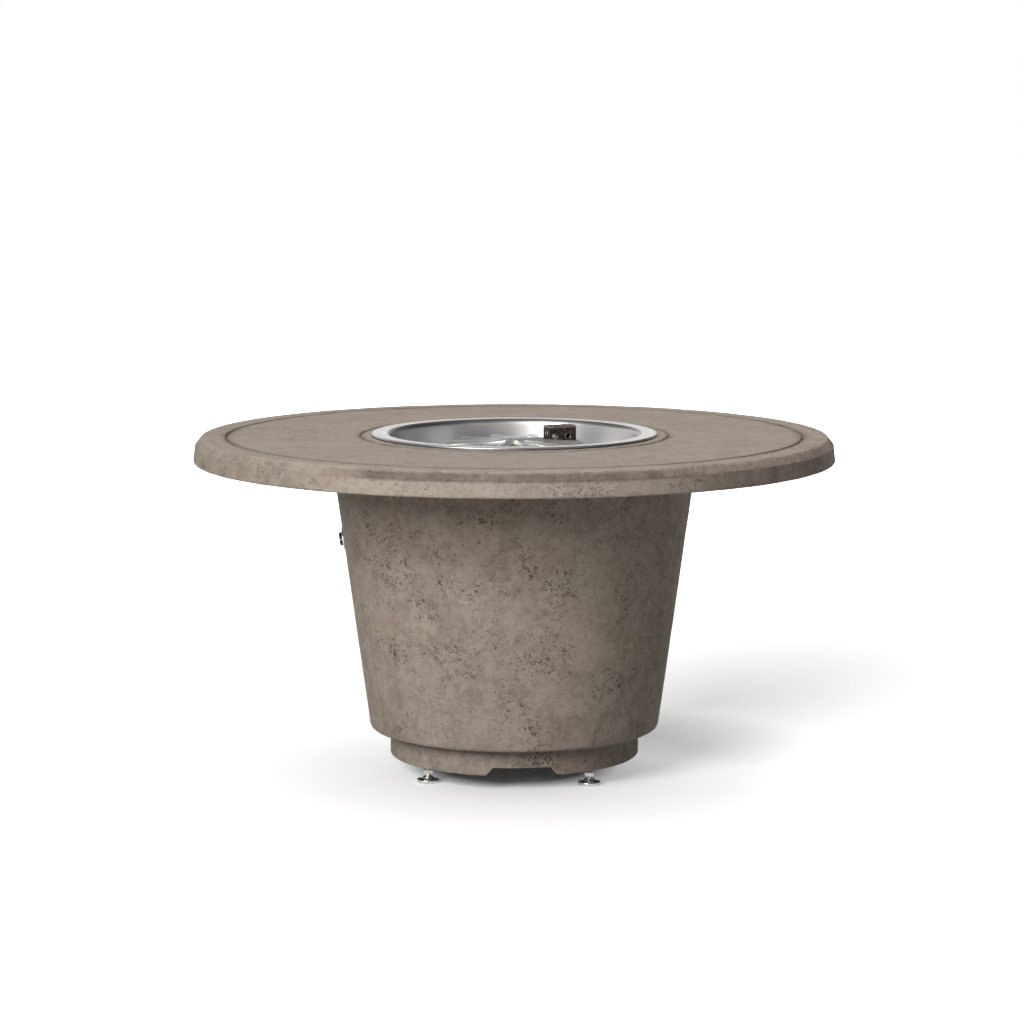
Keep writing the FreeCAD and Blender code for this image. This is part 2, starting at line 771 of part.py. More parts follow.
def burner_half(height, far_z):
    """Pressed half of the star: positive height for the upper half, negative for the lower half."""
    side = math.copysign(1.0, height)
    wall = side * burner_sheet
    half_seam = arm_seam_width / 2
    half_far = arm_top_width / 2
    start = hub_radius - 5
    outer = [half_hub(hub_radius, hub_radius - hub_round, hub_seam_z, far_z, -side * hub_round)]
    outer += around(arm_block(half_seam, half_far, 0, height, start, arm_tip_radius,
                              arm_tip_radius - abs(height)), arm_count)
    inner = [half_hub(hub_radius - burner_sheet, hub_radius - hub_round - burner_sheet / 2, hub_seam_z - side,
                      far_z - wall, -side * hub_round)]
    inner += around(arm_block(half_seam - burner_sheet, half_far - burner_sheet, -side, height - wall, start - 2,
                              arm_tip_radius - 2 * burner_sheet,
                              arm_tip_radius - abs(height) - burner_sheet), arm_count)
    flange_half = half_seam + seam_flange_width
    flange_tip = arm_tip_radius + seam_flange_width
    flange_low, flange_high = sorted((hub_seam_z, hub_seam_z + side * seam_flange_sheet))
    flange = [rod(2 * (hub_radius + seam_flange_width), flange_low, flange_high)]
    flange += around(arm_block(flange_half, flange_half, 0, side * seam_flange_sheet, start, flange_tip,
                               flange_tip), arm_count)
    return fused(outer + flange).cut(inner)


def make_burner_upper_shell():
    shell = burner_half(upper_half_height, burner_top_z)
    shell = shell.cut(rod(2 * (hub_radius + seam_flange_width), hub_seam_z - 5, hub_seam_z))
    ports = [rod(large_port_diameter, burner_seam_z, burner_top_z + 1, large_port_radius)]
    for radius in small_port_radii:
        ports.append(rod(small_port_diameter, burner_seam_z, burner_top_z + 1, radius))
    cuts = []
    for port in ports:
        cuts += around(port, arm_count)
    return shell.cut(cuts)


def make_burner_lower_shell():
    shell = burner_half(-lower_half_height, burner_bottom_z)
    return shell.cut([
        rod(2 * (hub_radius + seam_flange_width), hub_seam_z, hub_seam_z + 5),
        rod(nipple_bore, burner_bottom_z - 1, hub_seam_z),
    ])


def make_burner_inlet():
    """Nipple, lock nut, air mixer and elbow on the table's axis."""
    lock_low = pan_under_z - lock_nut_height
    nipple = tube(nipple_diameter, nipple_bore, nipple_low_z, burner_bottom_z)
    collar = tube(lock_nut_flats, nipple_diameter - 1, pan_floor_z, pan_floor_z + lock_nut_height)
    nut = hexagon(lock_nut_flats, lock_low, pan_under_z).cut(
        rod(nipple_diameter + 2 * thread_play, lock_low - 1, pan_under_z + 1))
    mixer = tube(mixer_diameter, mixer_bore, mixer_low_z, nipple_low_z)
    neck = tube(mixer_diameter, nipple_diameter + 2 * thread_play, nipple_low_z, lock_low)
    slot_low = nipple_low_z - mixer_slot_drop - mixer_slot_length
    slot = box(mixer_diameter + 10, mixer_slot_width, mixer_slot_length, low=slot_low)
    mixer = fused([mixer, neck]).cut([slot, turned(slot, 90)])
    seat = elbow_diameter / 2
    centre_z = mixer_low_z - elbow_drop
    elbow = fused([
        rod(mixer_diameter, mixer_low_z - 4, mixer_low_z),
        rod(elbow_diameter, centre_z, mixer_low_z - 4),
        Part.makeSphere(seat, Vector(0, 0, centre_z)),
        Part.makeCylinder(seat, elbow_reach, Vector(0, 0, centre_z), Vector(-1, 0, 0)),
    ]).cut(Part.makeCylinder(elbow_bore / 2, elbow_reach, Vector(0, 0, centre_z), Vector(-1, 0, 0)))
    elbow = elbow.cut(rod(elbow_bore, centre_z, mixer_low_z + 1))
    return {
        "burner_nipple": fused([nipple, collar]),
        "burner_lock_nut": nut,
        "air_mixer": mixer,
        "gas_elbow": elbow,
    }


# Pilot

def on_pilot(shape):
    """Copy of a shape built about the origin, set at the pilot's place in plan and turned."""
    copy = shape.copy()
    copy.rotate(Vector(0, 0, 0), UP, pilot_turn)
    copy.translate(Vector(pilot_x, pilot_y, 0))
    return copy


def bracket_foot_places():
    """Distances of the bracket's two screws from its middle, along its length."""
    reach = shield_length / 2 - shield_sheet - bracket_foot_length / 2
    return (-reach, reach)


def make_pilot_bracket():
    """Hat-shaped strip that stands on the pan's floor and carries the pilot."""
    half = shield_length / 2 - shield_sheet - bracket_foot_length
    foot = half + bracket_foot_length
    top = shield_base_z
    sheet = bracket_sheet
    outline = [
        (-foot, pan_floor_z), (-half, pan_floor_z), (-half, top - sheet), (half, top - sheet),
        (half, pan_floor_z), (foot, pan_floor_z), (foot, pan_floor_z + sheet), (half + sheet, pan_floor_z + sheet),
        (half + sheet, top), (-half - sheet, top), (-half - sheet, pan_floor_z + sheet), (-foot, pan_floor_z + sheet),
    ]
    face = ring_face(outline)
    face.translate(Vector(0, -bracket_leg_width / 2, 0))
    bracket = face.extrude(Vector(0, bracket_leg_width, 0))
    plate = box(shield_length, shield_depth, sheet, low=top - sheet)
    bracket = fused([bracket, plate])
    cuts = [rod(pilot_screw_diameter + 2 * thread_play, pan_floor_z - 1, pan_floor_z + 5, x)
            for x in bracket_foot_places()]
    for offset, diameter in pilot_stem_holes():
        cuts.append(rod(diameter + 2 * thread_play, top - 5, top + 1, offset))
    return on_pilot(bracket.cut(cuts))


def pilot_stem_holes():
    """Offset along the pilot and diameter of each stem that goes through the bracket's plate."""
    return [
        (pilot_hood_offset, pilot_tube_diameter),
        (electrode_offset, igniter_lead_diameter),
        (thermocouple_offset, thermocouple_lead_diameter),
    ]


def make_pilot_screws():
    screws = []
    for x in bracket_foot_places():
        head_low = pan_floor_z + bracket_sheet
        shank = rod(pilot_screw_diameter, pan_under_z - 3, head_low, x)
        head = rod(pilot_screw_head_diameter, head_low, head_low + pilot_screw_head_height, x)
        screws.append(on_pilot(shank.fuse(head).removeSplitter()))
    return Part.makeCompound(screws)


def make_pilot_shield():
    """Open-topped sheet box, pierced on its long sides and ends, with a sloped foot at its outer end."""
    low = shield_base_z
    sheet = shield_sheet
    outer = box(shield_length, shield_depth, shield_height, low=low)
    inner = box(shield_length - 2 * sheet, shield_depth - 2 * sheet, shield_height + 2, low=low - 1)
    foot_face = ring_face([
        (shield_length / 2 - sheet, low), (shield_length / 2 + shield_foot_length, low),
        (shield_length / 2 + shield_foot_length, low + sheet),
        (shield_length / 2, low + shield_foot_height + sheet), (shield_length / 2 - sheet, low + shield_foot_height),
    ])
    foot_face.translate(Vector(0, -shield_depth / 2, 0))
    foot = foot_face.extrude(Vector(0, shield_depth, 0))
    shield = fused([outer.cut(inner), foot])
    cuts = []
    for side in (-0.5, 0.5):
        cuts.append(Part.makeCylinder(
            shield_hole_diameter / 2, shield_depth + 4,
            Vector(side * shield_hole_spacing - shield_hole_offset, -shield_depth / 2 - 2, low + shield_hole_height),
            Vector(0, 1, 0)))
    cuts.append(Part.makeCylinder(
        shield_end_hole_diameter / 2, shield_length + 4,
        Vector(-shield_length / 2 - 2, 0, low + shield_end_hole_height), Vector(1, 0, 0)))
    return on_pilot(shield.cut(cuts))


def make_pilot_parts():
    low = shield_base_z
    hood = rod(pilot_hood_diameter, low, low + pilot_hood_height, pilot_hood_offset)
    window = box(pilot_hood_diameter, pilot_hood_diameter, pilot_hood_height / 2, pilot_hood_offset + 3,
                 -pilot_hood_diameter / 2, low + pilot_hood_height / 4)
    hood = hood.cut(window)
    electrode = rod(electrode_diameter, low, low + electrode_height, electrode_offset)
    tip = rod(electrode_rod_diameter, low + electrode_height, low + electrode_height + electrode_rod_height,
              electrode_offset)
    sensor = rod(thermocouple_diameter, low, low + thermocouple_height, thermocouple_offset)
    crown = Part.makeSphere(thermocouple_diameter / 2, Vector(thermocouple_offset, 0, low + thermocouple_height))
    return {
        "pilot_burner": on_pilot(hood),
        "spark_electrode": on_pilot(fused([electrode, tip])),
        "thermocouple": on_pilot(fused([sensor, crown])),
    }


# Control valve and igniter, built on the drum's axes

def make_knob():
    """Domed knob with a hollow back and a boss on the stem."""
    high = knob_proud
    low = knob_back
    radius = knob_diameter / 2
    body = spin(path_face([
        line((0, low), (radius, low)),
        line((radius, low), (radius - 0.5, high - knob_edge_round)),
        arc((radius - 0.5 - knob_edge_round, high - knob_edge_round), knob_edge_round, 0, 90),
        line((radius - 0.5 - knob_edge_round, high), (0, high)),
        line((0, high), (0, low)),
    ]))
    hollow = tube(2 * (radius - knob_wall), knob_boss_diameter, low, high - knob_wall)
    bore = rod(stem_diameter + 2 * thread_play, low, high - knob_wall)
    return body.cut([hollow, bore])


def valve_back():
    """Distance of the valve body's back from the drum's face."""
    return -pedestal_wall - valve_boss_depth - backing_washer_thickness - valve_body_length


def inlet_port_z():
    """Distance of the valve's gas inlet from the drum's face."""
    return valve_back() + inlet_port_back


def pilot_port_z():
    """Distance of the port for the pilot's gas from the drum's face."""
    return valve_back() + pilot_port_back


def magnet_port_z():
    """Distance of the safety magnet's port from the drum's face."""
    return valve_back() + magnet_port_back


def side_port(diameter, reach, z, side):
    """Round boss square to the valve's axis, upwards for side 1 and downwards for side -1."""
    return Part.makeCylinder(diameter / 2, reach, Vector(0, 0, z), Vector(0, side, 0))


def make_valve_body():
    """Cast valve body with its neck, its ports and the chamber of the plug, stem and spring."""
    back = valve_back()
    washer_back = back + valve_body_length
    neck_top = -cup_depth + panel_nut_height
    plug_back = back + valve_end_wall
    plug_front = plug_back + plug_length
    chamber_front = washer_back - valve_front_wall
    body = fused([
        rod(valve_neck_diameter, washer_back - 2, neck_top),
        rod(valve_body_diameter, back, washer_back),
        rod(valve_outlet_diameter, back - valve_outlet_length, back + 2),
        side_port(valve_port_diameter, valve_port_reach, inlet_port_z(), -1),
        side_port(pilot_port_diameter, valve_port_reach, pilot_port_z(), 1),
        side_port(magnet_port_diameter, magnet_port_reach, magnet_port_z(), 1),
    ])
    return body.cut([
        rod(stem_diameter + 2 * slide_play, chamber_front - 1, neck_top + 1),
        rod(stem_collar_diameter + 2 * slide_play, plug_front - 1, chamber_front),
        Part.makeCone(plug_small_diameter / 2 + thread_play, plug_large_diameter / 2 + thread_play, plug_length,
                      Vector(0, 0, plug_back)),
        side_port(inlet_bore, valve_port_reach + 1, inlet_port_z(), -1),
        rod(valve_outlet_bore, back - valve_outlet_length - 1, plug_back + 1),
    ])


def make_valve():
    """Pieces of the control valve about the knob's axis, the drum's face at z = 0."""
    back = valve_back()
    washer_back = back + valve_body_length
    wall_back = washer_back + backing_washer_thickness
    neck_top = -cup_depth + panel_nut_height
    plug_back = back + valve_end_wall
    plug_front = plug_back + plug_length
    collar_front = washer_back - valve_front_wall
    collar_back = collar_front - stem_collar_height
    cup_outer = cup_inner_diameter + 2 * cup_sheet
    flange = cup_outer + 2 * cup_flange_width
    neck_hole = valve_neck_diameter + 2 * thread_play
    cup = fused([
        tube(flange, cup_inner_diameter, -spot_face_depth, -spot_face_depth + cup_flange_thickness),
        tube(cup_outer, cup_inner_diameter, -cup_depth - cup_sheet, -spot_face_depth),
        tube(cup_outer, neck_hole, -cup_depth - cup_sheet, -cup_depth),
    ])
    nut = hexagon(panel_nut_flats, -cup_depth, neck_top).cut(rod(neck_hole, -cup_depth - 1, neck_top + 1))
    washer = tube(backing_washer_diameter, neck_hole, washer_back, wall_back)
    plug = Part.makeCone(plug_small_diameter / 2, plug_large_diameter / 2, plug_length, Vector(0, 0, plug_back))
    slot_low = plug_front - stem_tongue_length - knob_push_travel - 1
    plug = plug.cut([
        rod(stem_diameter + 2 * thread_play, slot_low, plug_front + 1),
        rod(valve_outlet_bore - 2, plug_back - 1, slot_low - 2),
        side_port(valve_outlet_bore - 2, plug_large_diameter, inlet_port_z(), -1),
    ])
    stem = fused([
        rod(stem_diameter, plug_front - stem_tongue_length, knob_proud - knob_wall),
        rod(stem_collar_diameter, collar_back, collar_front),
    ])
    spring = coil_spring(stem_collar_diameter - spring_wire - slide_play, spring_wire, plug_front, collar_back,
                         spring_turns)
    fitting = fused([
        hexagon(inlet_hex_flats, -inlet_hex_height, 0),
        rod(inlet_thread_diameter, -inlet_hex_height - inlet_thread_length, -inlet_hex_height),
    ]).cut(rod(inlet_bore, -inlet_hex_height - inlet_thread_length - 1, 1))
    fitting.rotate(Vector(0, 0, 0), Vector(1, 0, 0), -90)
    fitting.translate(Vector(0, -valve_port_reach, inlet_port_z()))
    pieces = {
        "knob_cup": cup,
        "valve_panel_nut": nut,
        "valve_backing_washer": washer,
        "gas_valve_body": make_valve_body(),
        "valve_plug": plug,
        "valve_stem": stem,
        "stem_spring": spring,
        "control_knob": make_knob(),
        "gas_inlet_fitting": fitting,
    }
    return {name: on_drum(shape, knob_azimuth, knob_height) for name, shape in pieces.items()}


def igniter_back():
    """Distance of the igniter's back end from the drum's face."""
    return igniter_flange_thickness - spot_face_depth - igniter_body_length


def make_igniter():
    """Pieces of the spark igniter about its own axis, the drum's face at z = 0."""
    seat = -spot_face_depth
    front = seat + igniter_flange_thickness
    wall_back = -pedestal_wall - igniter_boss_depth
    back = igniter_back()
    nut_back = wall_back - igniter_nut_height
    top = front + button_proud
    button_back = top - button_length
    chamber_back = button_back - button_spring_length
    inner = button_diameter + 2 * slide_play
    housing = fused([rod(igniter_flange_diameter, seat, front), rod(igniter_body_diameter, back, seat)])
    housing = housing.cut([
        rod(inner, button_back - button_travel, front + 1),
        rod(button_diameter - 3, chamber_back, front),
    ])
    nut = hexagon(igniter_nut_flats, nut_back, wall_back).cut(
        rod(igniter_body_diameter + 2 * thread_play, nut_back - 1, wall_back + 1))
    radius = button_diameter / 2
    button = spin(path_face([
        line((0, button_back), (radius, button_back)),
        line((radius, button_back), (radius, top - button_round)),
        arc((radius - button_round, top - button_round), button_round, 0, 90),
        line((radius - button_round, top), (0, top)),
        line((0, top), (0, button_back)),
    ]))
    spring = coil_spring(button_diameter - 3 - 2 * spring_wire, spring_wire, chamber_back, button_back,
                         spring_turns)
    pieces = {
        "igniter_housing": housing,
        "igniter_nut": nut,
        "igniter_button": button,
        "igniter_spring": spring,
    }
    return {name: on_drum(shape, igniter_azimuth, knob_height) for name, shape in pieces.items()}


# Gas line, pilot tube and leads inside the pedestal

def pilot_point(offset, height):
    """Point on the pilot's centre line at an offset along the pilot."""
    turn = math.radians(pilot_turn)
    return Vector(pilot_x + offset * math.cos(turn), pilot_y + offset * math.sin(turn), height)


def make_gas_line():
    """Metal gas line from the valve's outlet to the elbow under the burner."""
    elbow_z = mixer_low_z - elbow_drop
    outlet = valve_back() - valve_outlet_length
    start = drum_point(knob_azimuth, knob_height, Vector(0, 0, outlet))
    first = drum_point(knob_azimuth, knob_height, Vector(0, 0, outlet - gas_line_straight))
    last = Vector(-elbow_reach - gas_line_straight, 0, elbow_z)
    end = Vector(-elbow_reach, 0, elbow_z)
    return bent_rod([start, first, last, end], gas_line_diameter, gas_line_bend)


def make_pilot_tube():
    """Gas tube from the top of the valve, under the pan and up to the pilot."""
    run_z = pan_under_z - pilot_tube_drop
    start = drum_point(knob_azimuth, knob_height, Vector(0, valve_port_reach, pilot_port_z()))
    rise = (run_z - start.z) / math.cos(wall_lean)
    first = drum_point(knob_azimuth, knob_height, Vector(0, valve_port_reach + rise, pilot_port_z()))
    below = pilot_point(pilot_hood_offset, run_z)
    top = pilot_point(pilot_hood_offset, shield_base_z)
    return bent_rod([start, first, below, top], pilot_tube_diameter, tube_bend)


def make_thermocouple_lead():
    """Lead from the flame sensor, beside the pilot tube, to the valve's safety magnet."""
    run_z = pan_under_z - thermocouple_lead_drop
    local = Vector(0, magnet_port_reach, magnet_port_z())
    start = drum_point(knob_azimuth, knob_height, local)
    rise = (run_z - start.z) / math.cos(wall_lean)
    first = drum_point(knob_azimuth, knob_height, local + Vector(0, rise, 0))
    below = pilot_point(thermocouple_offset, run_z)
    top = pilot_point(thermocouple_offset, shield_base_z)
    return bent_rod([start, first, below, top], thermocouple_lead_diameter, tube_bend)


def make_igniter_lead():
    """Spark wire from the back of the igniter to the electrode."""
    run_z = pan_under_z - igniter_lead_drop
    back = igniter_back()
    start = drum_point(igniter_azimuth, knob_height, Vector(0, 0, back))
    first = drum_point(igniter_azimuth, knob_height, Vector(0, 0, back - 2 * tube_bend))
    above = Vector(first.x, first.y, run_z)
    below = pilot_point(electrode_offset, run_z)
    top = pilot_point(electrode_offset, shield_base_z)
    return bent_rod([start, first, above, below, top], igniter_lead_diameter, tube_bend)


# Door at the back. Its hinge is at the left edge, seen from behind the table.

def surface_angle(distance, height=door_low):
    """Azimuth that spans a distance along the drum's face at a height, if not given the door's foot."""
    return math.degrees(distance / drum_radius(height))


def hinge_azimuth():
    return door_azimuth - door_half_angle - surface_angle(swing_gap / 2)


def hinge_heights():
    """Lower and upper edge of each hinge's middle, named by place."""
    return {
        "lower": door_low + hinge_inset,
        "upper": door_high - hinge_inset,
    }


def on_hinge(shape, height):
    """Copy of a shape built about the origin, set on the drum's face over the door's gap."""
    return on_drum(shape, hinge_azimuth(), height)


def slanted_rod(diameter, low, high, lift):
    """Round bar along the local Y axis, at a lift over the drum's face."""
    return Part.makeCylinder(diameter / 2, high - low, Vector(0, low, lift), Vector(0, 1, 0))


def make_hinge(height):
    """One hinge: the wall's leaf, the door's leaf and the pin, at its height."""
    lift = hinge_knuckle_diameter / 2 + knuckle_lift
    third = hinge_height / 3
    half = hinge_height / 2
    tongue_low = knuckle_lift
    clear = hinge_knuckle_diameter / 2 + hinge_leaf_clearance
    spans = {
        "wall": [(-half, -half + third), (half - third, half)],
        "door": [(-half + third + hinge_knuckle_play, half - third - hinge_knuckle_play)],
    }
    bores = {"wall": thread_play / 5, "door": thread_play}
    leaves = {}
    for owner, side in (("wall", -1), ("door", 1)):
        parts = []
        for low, high in spans[owner]:
            parts.append(slanted_rod(hinge_knuckle_diameter, low, high, lift))
            tongue = Part.makeBox(clear + 3, high - low, hinge_leaf_sheet,
                                  Vector(0 if side > 0 else -clear - 3, low, tongue_low))
            parts.append(tongue)
        knuckles = on_hinge(fused(parts), height)
        near = surface_angle(clear, height)
        far = surface_angle(clear + hinge_leaf_length, height)
        first = hinge_azimuth() + (near if side > 0 else -far)
        plate = drum_band(0, -hinge_leaf_sheet, height - half, height + half, first, far - near)
        leaf = fused([knuckles, plate])
        bore = on_hinge(slanted_rod(hinge_pin_diameter + 2 * bores[owner], -half - 5, half + 5, lift), height)
        screws = [on_drum(rod(hinge_screw_diameter + 2 * thread_play, -1, 10), azimuth, screw_height)
                  for azimuth, screw_height in hinge_screw_places(side, height)]
        leaves[owner] = leaf.cut([bore] + screws)
    pin = fused([
        slanted_rod(hinge_pin_diameter, -half, half, lift),
        slanted_rod(hinge_pin_head_diameter, half, half + hinge_pin_head_height, lift),
    ])
    return leaves["wall"], leaves["door"], on_hinge(pin, height)


def hinge_screw_places(side, height):
    """Azimuth and height of the screws of one leaf; side is 1 for the door's leaf, -1 for the wall's."""
    distance = hinge_knuckle_diameter / 2 + hinge_leaf_clearance + hinge_leaf_length * hinge_screw_share
    azimuth = hinge_azimuth() + side * surface_angle(distance, height)
    return [(azimuth, height - hinge_height / 3), (azimuth, height + hinge_height / 3)]


def hinge_screw_holes(side):
    """Holes for the hinge screws in the wall or in the door."""
    hole = rod(hinge_screw_diameter + 2 * thread_play, -hinge_screw_length, 10)
    places = []
    for height in hinge_heights().values():
        places += hinge_screw_places(side, height)
    return [on_drum(hole, azimuth, height) for azimuth, height in places]


def make_hinge_screws(side):
    screw = fused([
        rod(hinge_screw_diameter, -hinge_screw_length, hinge_leaf_sheet),
        rod(hinge_screw_head_diameter, hinge_leaf_sheet, hinge_leaf_sheet + hinge_screw_head_height),
    ])
    places = []
    for height in hinge_heights().values():
        places += hinge_screw_places(side, height)
    return Part.makeCompound([on_drum(screw, azimuth, height) for azimuth, height in places])


def handle_place():
    """Azimuth and height of the handle's middle."""
    azimuth = door_azimuth + door_half_angle - surface_angle(handle_edge_distance)
    return azimuth, (door_low + door_high) / 2


def make_door_handle():
    """Bar pull with two posts let into the door."""
    half = handle_centres / 2
    bar = slanted_rod(handle_bar_diameter, -half - handle_overhang, half + handle_overhang, handle_reach)
    posts = [rod(handle_post_diameter, -handle_post_depth, handle_reach, 0, y) for y in (-half, half)]
    azimuth, height = handle_place()
    return on_drum(fused([bar] + posts), azimuth, height)


def make_access_door():
    """Cast door that continues the drum's face."""
    panel = drum_band(door_thickness, 0, door_low, door_high, door_azimuth - door_half_angle, 2 * door_half_angle)
    azimuth, height = handle_place()
    hole = rod(handle_post_diameter + 2 * thread_play, -handle_post_depth, 10)
    cuts = [on_drum(moved(hole, 0, y), azimuth, height) for y in (-handle_centres / 2, handle_centres / 2)]
    return panel.cut(cuts + hinge_screw_holes(1))


def make_catch():
    """Magnet on the wall behind the door's free edge, and the steel strike on the door's back."""
    edge = door_azimuth + door_half_angle - surface_angle(door_rebate_ledge)
    low = (door_low + door_high - magnet_length) / 2
    high = low + magnet_length
    face = door_thickness + strike_sheet + 2 * thread_play
    inside = surface_angle(magnet_reach)
    outside = surface_angle(magnet_depth)
    base = drum_band(pedestal_wall + magnet_depth, pedestal_wall, low, high, edge - inside, inside + outside)
    nose = drum_band(pedestal_wall + magnet_depth, face, low, high, edge - inside,
                     inside - surface_angle(slide_play))
    strike_low = low + (magnet_length - strike_length) / 2
    strike_span = surface_angle(strike_width)
    strike = drum_band(door_thickness + strike_sheet, door_thickness, strike_low, strike_low + strike_length,
                       edge - surface_angle(magnet_reach), strike_span)
    return {"door_magnet": fused([base, nose]), "door_strike": strike}


def make_door():
    nodes = {"access_door": make_access_door(), "door_handle": make_door_handle()}
    for name, height in hinge_heights().items():
        wall_leaf, door_leaf, pin = make_hinge(height)
        nodes[name + "_hinge_wall_leaf"] = wall_leaf
        nodes[name + "_hinge_door_leaf"] = door_leaf
        nodes[name + "_hinge_pin"] = pin
    nodes["hinge_wall_screws"] = make_hinge_screws(-1)
    nodes["hinge_door_screws"] = make_hinge_screws(1)
    nodes.update(make_catch())
    return nodes


def main():
    nodes = {
        "tabletop": make_tabletop(),
        "pedestal_shell": make_pedestal_shell(),
        "tank_tray": make_tank_tray(),
        "burner_pan": make_burner_pan(),
        "burner_upper_shell": make_burner_upper_shell(),
        "burner_lower_shell": make_burner_lower_shell(),
        "pilot_bracket": make_pilot_bracket(),
        "pilot_screws": make_pilot_screws(),
        "pilot_shield": make_pilot_shield(),
    }
    nodes.update(make_top_fixings())
    nodes.update(make_feet())
    nodes.update(make_burner_inlet())
    nodes.update(make_pilot_parts())
    nodes.update(make_valve())
    nodes.update(make_igniter())
    nodes.update({
        "gas_line": make_gas_line(),
        "pilot_tube": make_pilot_tube(),
        "thermocouple_lead": make_thermocouple_lead(),
        "igniter_lead": make_igniter_lead(),
    })
    nodes.update(make_door())
    for name, shape in nodes.items():
        shape.exportStep("parts/" + name + ".step")
        print(name, len(shape.Solids), round(shape.Volume), shape.isValid())


main()
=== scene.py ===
import json
from math import acos, atan, ceil, cos, degrees, pi, radians, sin, sqrt, tan

import bmesh
import bpy
import numpy as np
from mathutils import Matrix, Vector


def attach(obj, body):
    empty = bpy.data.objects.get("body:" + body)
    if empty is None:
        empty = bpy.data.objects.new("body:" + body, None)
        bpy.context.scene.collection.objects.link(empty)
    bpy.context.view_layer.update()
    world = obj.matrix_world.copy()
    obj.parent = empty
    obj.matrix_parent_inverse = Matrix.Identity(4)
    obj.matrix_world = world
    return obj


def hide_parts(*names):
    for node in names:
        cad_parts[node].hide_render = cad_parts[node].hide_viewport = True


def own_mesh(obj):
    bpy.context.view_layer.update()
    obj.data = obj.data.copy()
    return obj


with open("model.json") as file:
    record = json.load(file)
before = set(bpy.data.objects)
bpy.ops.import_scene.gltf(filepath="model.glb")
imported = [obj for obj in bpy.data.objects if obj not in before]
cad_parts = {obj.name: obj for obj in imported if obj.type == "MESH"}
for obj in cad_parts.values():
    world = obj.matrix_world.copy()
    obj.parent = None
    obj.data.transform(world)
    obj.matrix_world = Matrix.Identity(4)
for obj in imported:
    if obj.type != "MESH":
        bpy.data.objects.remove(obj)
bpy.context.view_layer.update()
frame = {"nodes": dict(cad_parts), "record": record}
cadNodes = frame["nodes"]
print("frame:", len(cadNodes), "nodes")


def newObject(name, data):
    made = bpy.data.objects.new(name, data)
    bpy.context.scene.collection.objects.link(made)
    return made


# Camera at the photograph's place, in metres and degrees

photoCamera = {"place": (-0.0044, -6.2243, 1.3228), "tilt": 82.428, "lens": 115.6}


def addCamera():
    lens = bpy.data.cameras.new("photoCamera")
    lens.lens = photoCamera["lens"]
    camera = newObject("photoCamera", lens)
    camera.location = photoCamera["place"]
    camera.rotation_euler = (radians(photoCamera["tilt"]), 0, 0)
    bpy.context.scene.camera = camera


addCamera()


# Surfaces as whole arrays of points

def gridFaces(rows, columns, wrapRows=False, wrapColumns=False, first=0):
    # four-cornered faces between neighbouring points of a rows by columns grid
    row, column = np.meshgrid(np.arange(rows if wrapRows else rows - 1),
                              np.arange(columns if wrapColumns else columns - 1), indexing="ij")
    nextRow = (row + 1) % rows
    nextColumn = (column + 1) % columns
    corners = [row * columns + column, row * columns + nextColumn,
               nextRow * columns + nextColumn, nextRow * columns + column]
    return np.stack(corners, -1).reshape(-1, 4) + first


def mergeDoubles(mesh, outward):
    # joins points that lie on each other, drops flat faces and, where asked, turns the rest outwards
    work = bmesh.new()
    work.from_mesh(mesh)
    bmesh.ops.remove_doubles(work, verts=work.verts, dist=1e-6)
    bmesh.ops.dissolve_degenerate(work, edges=work.edges, dist=1e-7)
    if outward:
        bmesh.ops.recalc_face_normals(work, faces=work.faces)
    work.to_mesh(mesh)
    work.free()


def newMesh(name, parts):
    # joins parts in one mesh; each is a grid of points, whether its rows and its columns close,
    # and its edge wear, one value or one for each point, where a negative value is painted shade and, on the
    # tabletop's front rim, a positive one is also a painted highlight
    points, faces, wear = [], [], []
    count = 0
    for grid, wrapRows, wrapColumns, worn in parts:
        rows, columns = grid.shape[:2]
        points.append(grid.reshape(-1, 3))
        faces.append(gridFaces(rows, columns, wrapRows, wrapColumns, count))
        wear.append(np.broadcast_to(worn, (rows, columns)).reshape(-1))
        count += rows * columns
    wear = np.concatenate(wear).astype(np.float32)
    mesh = bpy.data.meshes.new(name)
    mesh.from_pydata(np.concatenate(points).tolist(), [], np.concatenate(faces).tolist())
    for title, values in (("edgeWearAndHighlight", np.maximum(wear, 0)), ("grime", np.maximum(-wear, 0))):
        mesh.attributes.new(title, "FLOAT", "POINT").data.foreach_set("value", values)
    mergeDoubles(mesh, True)
    return mesh


# edges that turn further than this stay sharp, in degrees
sharpAngles = {"turned": 38, "copied": 32, "pan": 50, "threaded": 30, "softened": 50}


def addPiece(mesh, body, slotName, replaced=(), finish=None, sharpAngle=sharpAngles["turned"]):
    # a mesh as a piece of the same name on a body; its finish is the slot's, unless another is named
    piece = newObject(mesh.name, mesh)
    mesh.materials.clear()
    mesh.materials.append(finishes[finish or slotName])
    mesh.polygons.foreach_set("use_smooth", np.ones(len(mesh.polygons), bool))
    mesh.set_sharp_from_angle(angle=radians(sharpAngle))
    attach(piece, body)
    if replaced:
        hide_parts(*replaced)
    return piece


